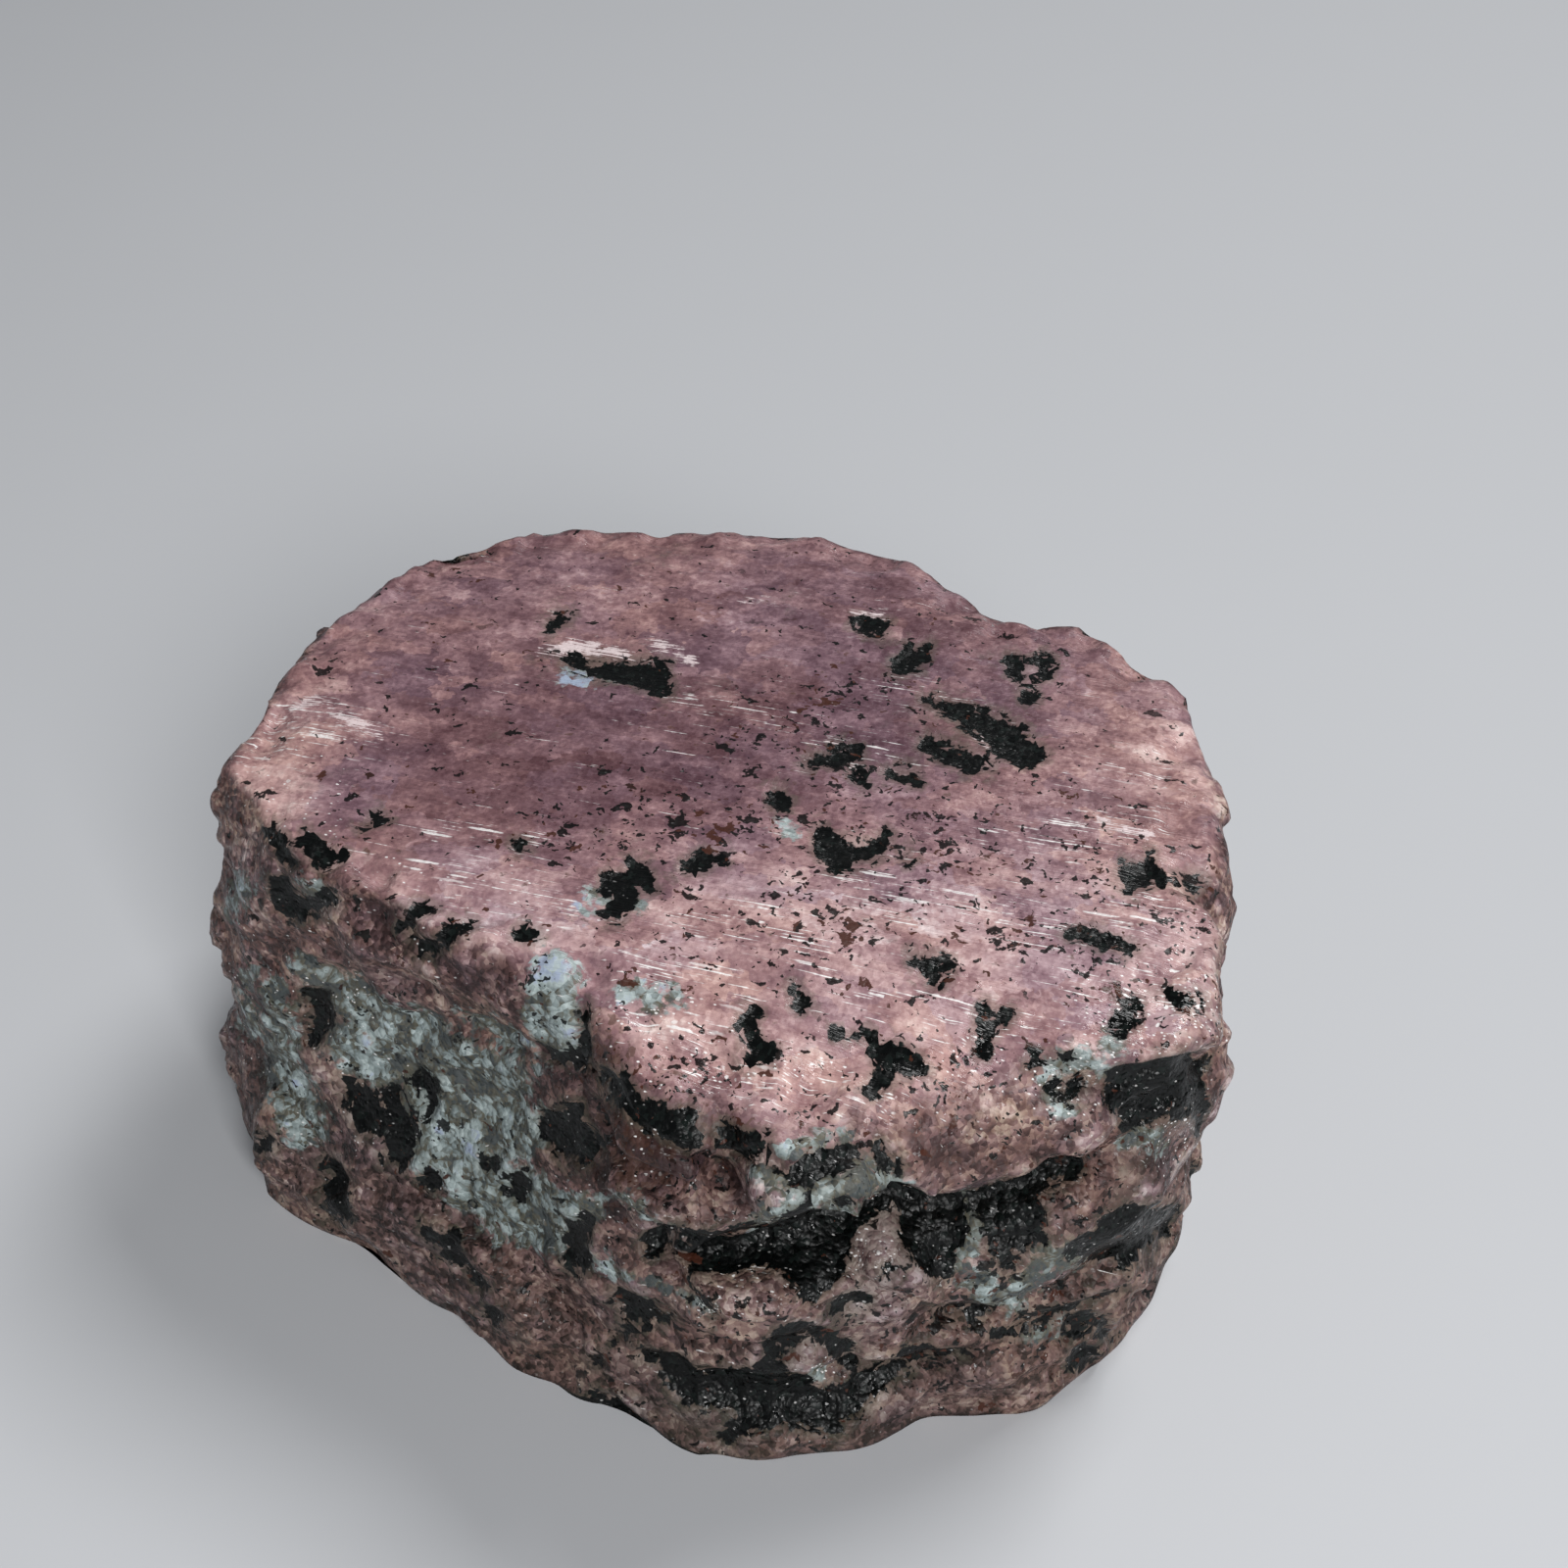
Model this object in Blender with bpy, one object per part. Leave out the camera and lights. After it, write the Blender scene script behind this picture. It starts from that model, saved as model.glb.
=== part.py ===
"""Ruby crystal specimen: a rough six-sided corundum prism, grown with hornblende and pale rock.

The stone is one grown piece, so it is one object. Its top is a ground, nearly flat face, its sides are rough
walls broken into lobes, hollows and parting ledges, and it rests on a flat base. It starts as a sliced block
whose points are then laid on the stone's surface.
"""

import itertools

import bmesh
import bpy
import numpy as np

# Overall size in metres: the base is at height 0 and the ground top face at HEIGHT
HEIGHT = 0.034

# Slices of the starting block: across the top face and up the walls
TOP_SLICES = 34
WALL_SLICES = 20

# Points of the block closer than this count as one
SAME_PLACE = 1e-6

# The axis that azimuths and distances are measured round stands a little off the middle of the stone
AXIS = (-0.0003, -0.0010)

# Corners of the outline, going round from above: azimuth in degrees from +X towards +Y,
# distance from the axis at the top and at the base, and the radius of the top edge there, in metres
CORNERS = {
    "left wall foot": (-169, 0.0264, 0.0322, 0.0012),
    "left wall quarter": (-159, 0.0230, 0.0280, 0.0012),
    "left wall middle": (-144, 0.0200, 0.0252, 0.0014),
    "left wall end": (-128, 0.0188, 0.0239, 0.0016),
    "nose root": (-110, 0.0206, 0.0248, 0.0032),
    "nose left": (-97, 0.0242, 0.0264, 0.0032),
    "nose": (-89, 0.0260, 0.0278, 0.0034),
    "tongue": (-78, 0.0288, 0.0284, 0.0036),
    "front wall middle": (-62, 0.0293, 0.0297, 0.0034),
    "front wall end": (-49, 0.0312, 0.0322, 0.0028),
    "front right corner": (-37, 0.0372, 0.0347, 0.0024),
    "right lobe": (-29, 0.0368, 0.0353, 0.0020),
    "right lobe end": (-22, 0.0358, 0.0354, 0.0018),
    "right notch": (-18, 0.0334, 0.0356, 0.0014),
    "right wall front": (-11, 0.0344, 0.0356, 0.0014),
    "right wall middle": (5, 0.0351, 0.0350, 0.0014),
    "right wall corner": (17, 0.0362, 0.0353, 0.0012),
    "right shoulder": (32, 0.0333, 0.0320, 0.0012),
    "back notch": (39, 0.0295, 0.0300, 0.0010),
    "back right wall": (44, 0.0290, 0.0296, 0.0010),
    "back right corner": (59, 0.0307, 0.0308, 0.0010),
    "back wall right": (73, 0.0310, 0.0306, 0.0010),
    "back wall middle": (96, 0.0313, 0.0300, 0.0010),
    "back wall left": (113, 0.0337, 0.0326, 0.0010),
    "back left corner": (127, 0.0344, 0.0343, 0.0010),
    "left back wall": (145, 0.0324, 0.0336, 0.0010),
    "left corner": (160, 0.0317, 0.0344, 0.0010),
    "left tip": (176, 0.0316, 0.0356, 0.0012),
}

# Lobes and hollows of the walls: azimuth and half width in degrees, then height, half height,
# rise over one half width and swell in metres. A swell below 0 is a hollow.
WALL_FORMS = {
    "left upper band": (-148, 30, 0.0315, 0.0030, 0.0000, 0.0008),
    "left scoop": (-142, 30, 0.0210, 0.0070, 0.0000, -0.0024),
    "left lower rim": (-150, 36, 0.0060, 0.0050, 0.0000, 0.0010),
    "nose lobe": (-93, 8, 0.0300, 0.0030, 0.0000, 0.0016),
    "nose seam": (-96, 11, 0.0268, 0.0022, 0.0006, -0.0014),
    "brown lobe": (-92, 9, 0.0230, 0.0036, 0.0000, 0.0014),
    "between lobes": (-84.5, 2.6, 0.0305, 0.0050, 0.0000, -0.0014),
    "tongue lobe": (-77, 8, 0.0300, 0.0032, 0.0000, 0.0019),
    "tongue seam": (-77, 11, 0.0258, 0.0022, 0.0005, -0.0014),
    "upper slab": (-55, 14, 0.0290, 0.0034, 0.0000, 0.0016),
    "upper seam": (-66, 27, 0.0215, 0.0026, 0.0035, -0.0034),
    "folded lobe": (-82, 10, 0.0155, 0.0028, 0.0000, 0.0018),
    "second slab": (-50, 15, 0.0165, 0.0034, 0.0020, 0.0016),
    "middle seam": (-48, 14, 0.0110, 0.0016, 0.0012, -0.0014),
    "lower slab": (-46, 12, 0.0070, 0.0030, 0.0000, 0.0006),
    "lower seam": (-78, 20, 0.0060, 0.0026, 0.0000, -0.0020),
    "right seam": (-39, 7, 0.0268, 0.0020, 0.0010, -0.0014),
    "right lower lobe": (-28, 8, 0.0220, 0.0040, 0.0000, 0.0005),
}

# Parting ledges of the far walls: height, and the step by which the wall stands out below it, in metres
LEDGES = {
    "upper ledge": (0.0265, 0.0009),
    "middle ledge": (0.0180, -0.0012),
    "lower ledge": (0.0095, 0.0011),
    "foot ledge": (0.0040, -0.0008),
}
LEDGE_SOFTNESS = 0.0010

# How far the ledges wander up and down, and the length of one wander round the wall, in metres.
# The wander changes less with height than it does round the wall.
LEDGE_WANDER = (0.0028, 0.0160)
LEDGE_FLATNESS = (1, 1, 0.3)

# The ledges are full up to FULL degrees either side of their middle azimuth, and gone at NONE degrees
LEDGE_MIDDLE = 80
LEDGE_FULL = 50
LEDGE_NONE = 150

# The ground face sinks towards the front of the stone, from this Y to the front edge, in metres
SHOULDER_START = -0.014
SHOULDER_SPAN = 0.016
SHOULDER_DROP = 0.0030

# Roughness: the size of the lumps and how far they stand out, in metres
LUMPS = {"large": (0.0130, 0.0010), "middle": (0.0068, 0.0009), "small": (0.0036, 0.0005)}

# The share of the roughness on the ground face, and the share that moves the face's rim sideways
GROUND_SHARE = 0.12
RIM_SHARE = 0.35

# The rim's share fades to nothing over this part of the way to the middle of the ground face
RIM_WIDTH = 0.15

# Seed of the noise, and the gain that brings it to about -1 to 1
SEED = 11
NOISE_GAIN = 1.6

# Stands in for 0 where a number is divided by
TINY = 1e-9

RUBY_COLOUR = (0.305, 0.141, 0.171, 1.0)
RUBY_ROUGHNESS = 0.55


def noise_tables():
    """The shuffled order and the unit slopes that the noise reads."""
    generator = np.random.default_rng(SEED)
    slopes = generator.normal(size=(256, 3))
    return generator.permutation(256), slopes / np.linalg.norm(slopes, axis=1, keepdims=True)


ORDER, SLOPES = noise_tables()


def lumps(points, size):
    """Smooth noise from about -1 to 1, with lumps about `size` across.

    Each corner of a cubic lattice holds a random slope, and the value between corners eases from one
    slope's plane to the next.
    """
    scaled = points / size
    cell = np.floor(scaled).astype(int)
    part = scaled - cell
    ease = part**3 * (part * (part * 6 - 15) + 10)
    total = np.zeros(len(points))
    for corner in itertools.product((0, 1), repeat=3):
        x, y, z = ((cell + corner) % 256).T
        slope = SLOPES[ORDER[(ORDER[(ORDER[x] + y) % 256] + z) % 256]]
        weight = np.prod(np.where(corner, ease, 1 - ease), axis=1)
        total += weight * np.sum(slope * (part - corner), axis=1)
    return NOISE_GAIN * total


def ease_step(value):
    """0 below 0, 1 above 1 and a smooth rise between."""
    clipped = np.clip(value, 0, 1)
    return clipped * clipped * (3 - 2 * clipped)


def turn_between(azimuth, centre):
    """The signed angle in degrees from centre to azimuth, the short way round."""
    return (azimuth - centre + 180) % 360 - 180


def outline(azimuth):
    """Distance from the axis at the top and at the base, and the top edge's radius, at each azimuth.

    Between two corners the wall is straight, so with corner distances p and q, the whole turn T between the
    corners and the turn t from the first, the distance is p q sin T / (p sin t + q sin (T - t)).
    """
    table = np.array(list(CORNERS.values()), dtype=float)
    turns = np.append(table[:, 0], table[0, 0] + 360)
    table = np.vstack([table, table[:1]])
    turned = (azimuth - turns[0]) % 360 + turns[0]
    first = np.searchsorted(turns, turned, side="right") - 1
    first = np.clip(first, 0, len(turns) - 2)
    whole = np.radians(turns[first + 1] - turns[first])
    passed = np.radians(turned - turns[first])
    distances = []
    for column in (1, 2):
        near = table[first, column]
        far = table[first + 1, column]
        spread = near * np.sin(passed) + far * np.sin(whole - passed)
        distances.append(near * far * np.sin(whole) / spread)
    share = passed / whole
    edge = (1 - share) * table[first, 3] + share * table[first + 1, 3]
    return distances[0], distances[1], edge


def wall_swell(azimuth, height):
    """How far the named lobes and hollows move the wall outwards.

    Each one adds swell * exp(-(a^2 + h^2)^2), where a and h are the distances from its middle round the wall
    and up it, measured in its half width and half height.
    """
    total = np.zeros(len(azimuth))
    for centre, half_width, middle, half_height, rise, swell in WALL_FORMS.values():
        across = turn_between(azimuth, centre) / half_width
        up = (height - middle - rise * across) / half_height
        total += swell * np.exp(-((across**2 + up**2) ** 2))
    return total


def ledge_swell(points, azimuth):
    """How far the parting ledges move the far walls outwards."""
    reach, length = LEDGE_WANDER
    wander = reach * lumps(points * LEDGE_FLATNESS, length)
    from_middle = np.abs(turn_between(azimuth, LEDGE_MIDDLE))
    strength = ease_step((LEDGE_NONE - from_middle) / (LEDGE_NONE - LEDGE_FULL))
    total = np.zeros(len(azimuth))
    for height, step in LEDGES.values():
        total += step * ease_step(0.5 + (height + wander - points[:, 2]) / LEDGE_SOFTNESS)
    return strength * total


def stone_points(azimuth, climb, spread):
    """Points of the stone's surface.

    climb goes from 0 at the base to 1 where the rounded top edge meets the ground face, and spread goes from
    1 at that edge to 0 at the middle of the ground face. On the way up, the wall is straight as far as the
    top edge, which is a quarter round of radius e: after a turn b it is e sin b higher and e (1 - cos b)
    further in.
    """
    top, base, edge = outline(azimuth)
    straight = HEIGHT - edge
    travelled = climb * (straight + edge * np.pi / 2)
    turn = np.clip((travelled - straight) / edge, 0, np.pi / 2)
    height = np.minimum(travelled, straight) + edge * np.sin(turn)
    share = height / HEIGHT
    distance = share * top + (1 - share) * base - edge * (1 - np.cos(turn))
    distance = (distance + wall_swell(azimuth, height)) * spread

    outwards = np.column_stack([np.cos(np.radians(azimuth)), np.sin(np.radians(azimuth))])
    points = np.column_stack([outwards * distance[:, None], height])
    shoulder = SHOULDER_DROP * ease_step((SHOULDER_START - points[:, 1]) / SHOULDER_SPAN)
    points[:, 2] -= shoulder * share**3

    rough = sum(amount * lumps(points, size) for size, amount in LUMPS.values())
    rim = RIM_SHARE * ease_step((spread - 1 + RIM_WIDTH) / RIM_WIDTH)
    sideways_share = np.where(spread < 1, rim, 1 - (1 - RIM_SHARE) * np.sin(turn))
    sideways = sideways_share * rough + (spread == 1) * ledge_swell(points, azimuth)
    points[:, :2] += outwards * sideways[:, None] + AXIS
    points[:, 2] += GROUND_SHARE * np.sin(turn) * rough
    return points


def sliced_block():
    """A block from -1 to 1 along X and Y and from 0 to 1 along Z, sliced into a grid, with one base face."""
    block = bmesh.new()
    bmesh.ops.create_cube(block, size=2)
    for vertex in block.verts:
        vertex.co.z = (vertex.co.z + 1) / 2
    cuts = [((1, 0, 0), 2 * step / TOP_SLICES - 1) for step in range(1, TOP_SLICES)]
    cuts += [((0, 1, 0), 2 * step / TOP_SLICES - 1) for step in range(1, TOP_SLICES)]
    cuts += [((0, 0, 1), step / WALL_SLICES) for step in range(1, WALL_SLICES)]
    for normal, place in cuts:
        everything = block.verts[:] + block.edges[:] + block.faces[:]
        point = tuple(place * part for part in normal)
        bmesh.ops.bisect_plane(block, geom=everything, dist=SAME_PLACE, plane_co=point, plane_no=normal)
    bottom = [face for face in block.faces if face.calc_center_median().z < SAME_PLACE]
    bmesh.ops.dissolve_faces(block, faces=bottom)
    return block


def lay_on_stone(block):
    """Move each point of the block to the stone's surface.

    A point's larger share of X or Y says how far out it is, and the angles are spaced evenly round the axis.
    """
    corners = np.array([vertex.co for vertex in block.verts], dtype=float)
    spread = np.abs(corners[:, :2]).max(axis=1)
    on_rim = corners[:, :2] / np.maximum(spread, TINY)[:, None]
    even = np.tan(on_rim * np.pi / 4)
    azimuth = np.degrees(np.arctan2(even[:, 1], even[:, 0]))
    placed = stone_points(azimuth, corners[:, 2], spread)
    for vertex, point in zip(block.verts, placed):
        vertex.co = point


def ruby_material():
    """The stone's main colour."""
    material = bpy.data.materials.new("ruby")
    material.use_nodes = True
    shader = material.node_tree.nodes["Principled BSDF"]
    shader.inputs["Base Color"].default_value = RUBY_COLOUR
    shader.inputs["Roughness"].default_value = RUBY_ROUGHNESS
    shader.inputs["Metallic"].default_value = 0.0
    return material


def make_stone():
    """The whole crystal as one closed solid."""
    block = sliced_block()
    lay_on_stone(block)
    bmesh.ops.recalc_face_normals(block, faces=block.faces[:])
    mesh = bpy.data.meshes.new("ruby_crystal")
    block.to_mesh(mesh)
    block.free()
    mesh.materials.append(ruby_material())
    stone = bpy.data.objects.new("ruby_crystal", mesh)
    bpy.context.scene.collection.objects.link(stone)
    return stone


def main():
    for old in list(bpy.data.objects):
        bpy.data.objects.remove(old, do_unlink=True)
    make_stone()


main()
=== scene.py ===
"""Ruby crystal specimen: the rough stone's full surface, its minerals and their finish.

The stone is one surface worked out with numpy from its outline, its named lobes and hollows, and noise. The
minerals are patches laid on that surface. Their edges, grains and glints come from the material.
"""

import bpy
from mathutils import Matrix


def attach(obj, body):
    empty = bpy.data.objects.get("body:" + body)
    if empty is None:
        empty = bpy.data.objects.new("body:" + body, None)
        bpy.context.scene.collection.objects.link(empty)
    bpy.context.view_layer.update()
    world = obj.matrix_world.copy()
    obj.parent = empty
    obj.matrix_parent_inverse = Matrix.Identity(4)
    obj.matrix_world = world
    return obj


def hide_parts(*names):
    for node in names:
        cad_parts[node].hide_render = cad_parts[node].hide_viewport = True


bl_info = {
    "name": "Ruby crystal specimen",
    "version": (1, 0, 0),
    "blender": (4, 5, 0),
    "location": "View3D > Sidebar > Ruby",
    "description": "A rough ruby crystal grown with hornblende and pale rock",
    "category": "Add Mesh",
}

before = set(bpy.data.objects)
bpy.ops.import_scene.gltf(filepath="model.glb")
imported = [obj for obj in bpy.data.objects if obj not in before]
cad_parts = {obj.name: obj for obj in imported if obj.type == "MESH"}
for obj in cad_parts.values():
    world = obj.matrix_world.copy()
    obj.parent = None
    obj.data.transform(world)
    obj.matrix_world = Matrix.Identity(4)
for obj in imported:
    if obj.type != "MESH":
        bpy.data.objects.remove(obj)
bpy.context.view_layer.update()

import functools
import itertools
import math

import bpy
import numpy as np
from mathutils import Vector

MM = 0.001
TINY = 1e-9

# The stone's form, in metres, as in the solid that this surface covers
HEIGHT = 0.034
AXIS = (-0.0003, -0.0010)

# Corners of the outline, going round from above: azimuth in degrees from +X towards +Y,
# distance from the axis at the top and at the base, and the radius of the top edge there
CORNERS = {
    "left wall foot": (-169, 0.0264, 0.0322, 0.0012),
    "left wall quarter": (-159, 0.0230, 0.0280, 0.0012),
    "left wall middle": (-144, 0.0200, 0.0252, 0.0014),
    "left wall end": (-128, 0.0188, 0.0239, 0.0016),
    "nose root": (-110, 0.0206, 0.0248, 0.0032),
    "nose left": (-97, 0.0242, 0.0264, 0.0032),
    "nose": (-89, 0.0260, 0.0278, 0.0034),
    "tongue": (-78, 0.0288, 0.0284, 0.0036),
    "front wall middle": (-62, 0.0293, 0.0297, 0.0034),
    "front wall end": (-49, 0.0312, 0.0322, 0.0028),
    "front right corner": (-37, 0.0372, 0.0347, 0.0024),
    "right lobe": (-29, 0.0368, 0.0353, 0.0020),
    "right lobe end": (-22, 0.0358, 0.0354, 0.0018),
    "right notch": (-18, 0.0334, 0.0356, 0.0014),
    "right wall front": (-11, 0.0344, 0.0356, 0.0014),
    "right wall middle": (5, 0.0351, 0.0350, 0.0014),
    "right wall corner": (17, 0.0362, 0.0353, 0.0012),
    "right shoulder": (32, 0.0333, 0.0320, 0.0012),
    "back notch": (39, 0.0295, 0.0300, 0.0010),
    "back right wall": (44, 0.0290, 0.0296, 0.0010),
    "back right corner": (59, 0.0307, 0.0308, 0.0010),
    "back wall right": (73, 0.0310, 0.0306, 0.0010),
    "back wall middle": (96, 0.0313, 0.0300, 0.0010),
    "back wall left": (113, 0.0337, 0.0326, 0.0010),
    "back left corner": (127, 0.0344, 0.0343, 0.0010),
    "left back wall": (145, 0.0324, 0.0336, 0.0010),
    "left corner": (160, 0.0317, 0.0344, 0.0010),
    "left tip": (176, 0.0316, 0.0356, 0.0012),
}

# Lobes and hollows of the walls: azimuth and half width in degrees, then height, half height,
# rise over one half width and swell in metres. A swell below 0 is a hollow.
WALL_FORMS = {
    "left upper band": (-148, 30, 0.0315, 0.0030, 0.0000, 0.0008),
    "left scoop": (-142, 30, 0.0210, 0.0070, 0.0000, -0.0024),
    "left lower rim": (-150, 36, 0.0060, 0.0050, 0.0000, 0.0010),
    "nose lobe": (-93, 8, 0.0300, 0.0030, 0.0000, 0.0016),
    "nose seam": (-96, 11, 0.0268, 0.0022, 0.0006, -0.0014),
    "brown lobe": (-92, 9, 0.0230, 0.0036, 0.0000, 0.0014),
    "between lobes": (-84.5, 2.6, 0.0305, 0.0050, 0.0000, -0.0014),
    "tongue lobe": (-77, 8, 0.0300, 0.0032, 0.0000, 0.0019),
    "tongue seam": (-77, 11, 0.0258, 0.0022, 0.0005, -0.0014),
    "upper slab": (-55, 14, 0.0290, 0.0034, 0.0000, 0.0016),
    "upper seam": (-66, 27, 0.0215, 0.0026, 0.0035, -0.0034),
    "folded lobe": (-82, 10, 0.0155, 0.0028, 0.0000, 0.0018),
    "second slab": (-50, 15, 0.0165, 0.0034, 0.0020, 0.0016),
    "middle seam": (-48, 14, 0.0110, 0.0016, 0.0012, -0.0014),
    "lower slab": (-46, 12, 0.0070, 0.0030, 0.0000, 0.0006),
    "lower seam": (-78, 20, 0.0060, 0.0026, 0.0000, -0.0020),
    "right seam": (-39, 7, 0.0268, 0.0020, 0.0010, -0.0014),
    "right lower lobe": (-28, 8, 0.0220, 0.0040, 0.0000, 0.0005),
}

# Parting ledges of the far walls: height, and the step by which the wall stands out below it
LEDGES = {
    "upper ledge": (0.0265, 0.0009),
    "middle ledge": (0.0180, -0.0012),
    "lower ledge": (0.0095, 0.0011),
    "foot ledge": (0.0040, -0.0008),
}

# How softly the ledges step, how far their heights wander and over what length, and how much of X, Y and Z
# the wander follows. In degrees: their middle, and how far from it they are still full and how far they go.
LEDGE_SOFTNESS = 0.0010
LEDGE_WANDER = (0.0028, 0.0160)
LEDGE_FLATNESS = (1, 1, 0.3)
LEDGE_MIDDLE = 80
LEDGE_FULL = 50
LEDGE_NONE = 150

# The front of the ground face drops away from this Y, over this distance, by this much
SHOULDER_START = -0.014
SHOULDER_SPAN = 0.016
SHOULDER_DROP = 0.0030

# Lumps: size and amount. The ground face rises with a share of them and its rim moves sideways with another,
# which fades out over the rim's width, given as a share of the way to the middle.
LUMPS = {"large": (0.0130, 0.0010), "middle": (0.0068, 0.0009), "small": (0.0036, 0.0005)}
GROUND_SHARE = 0.12
RIM_SHARE = 0.35
RIM_WIDTH = 0.15

# The noise's seed, the cells after which it repeats, and what brings it to about -1 to 1
SEED = 11
LATTICE = 256
NOISE_GAIN = 1.6

# Roughness that only this surface carries, in metres. Blocks: size, how far one block may stand out past the
# next, how far a block's face leans, and how deep the crease between them is. Then how flat the blocks are,
# how far their middles stray, in cells, how wide the creases are, and the grains' size and height.
BLOCKS = {
    "blocks": (0.0046, 0.00040, 0.00055, 0.00020),
    "small blocks": (0.0019, 0.00018, 0.00030, 0.00010),
}
BLOCK_FLATNESS = (1.0, 1.0, 1.4)
BLOCK_STRAY = 0.45
CREASE_WIDTH = 0.0006
GRAIN_SIZE = 0.0010
GRAIN_HEIGHT = 0.00006

# How much smoother the ground face and the hornblende are, and the most that a worn part is
GROUND_SMOOTH = 0.93
HORNBLENDE_SMOOTH = 0.4
SMOOTHEST = 0.8

# How deep hornblende is sunk, in metres
SUNK_ON_GROUND = 0.00022
SUNK_ON_WALL = 0.00050

# Creases read from the photograph: depth in metres, width in mm, and the share lost on the ground face
CREASE_LINE_DEPTH = 0.00060
CREASE_LINE_WIDTH = 0.9
CREASE_LINE_FADE = 0.8

# Lips: how far from a lip the stone still stands out or draws back and how wide its edge is, in mm, and the
# share lost on the ground face
LIP_REACH = 2.2
LIP_WIDTH = 0.60
LIP_FADE = 0.6

# The worn rim of the ground face: depth in metres, width as a share of the way to the middle, and the share
# of the depth that is worn on average
RIM_WEAR = 0.0010
RIM_WEAR_WIDTH = 0.12
RIM_WEAR_SHARE = 0.35

# The height over which the finer roughness fades out towards the base, then the pits in the base: depth, size
# and the noise at which they start
FOOT_HEIGHT = 0.0010
BASE_PIT_DEPTH = 0.0002
BASE_PIT_SIZE = 0.0030
BASE_PIT_START = 0.1

# The photograph's side and a millimetre of the stone in pixels, and the camera's place, turn up from straight
# down, lens, sensor and nearest distance
PHOTO_SIZE = 1600
PIXELS_PER_MM = 15.6
CAMERA_PLACE = (0.00585, -0.10903, 0.12465)
CAMERA_TURN = math.radians(50)
LENS = 49.5
SENSOR = 36.0
CLIP_START = 0.01

# The lights' places and sides, the point that they face, and the floor's mottling: scale, detail, roughness
KEY_LIGHT = ((0.30, 0.24, 0.63), 0.25)
FILL_LIGHT = ((0.10, -0.30, 0.25), 0.14)
STONE_MIDDLE = (0.0, 0.0, 0.02)
FLOOR_MOTTLE = (60.0, 3.0, 0.55)

# In mm: the far limit of a patch's reach, and how far patches draw back where the surface turns away from the
# camera. Then the cosine at which they start to, how many points it is averaged over each way round the wall,
# and what is added to it.
FAR = 50.0
DRAW_BACK = 6.0
GRAZING = 0.12
FACING_BLUR = 10
FACING_LIFT = 0.03

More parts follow.
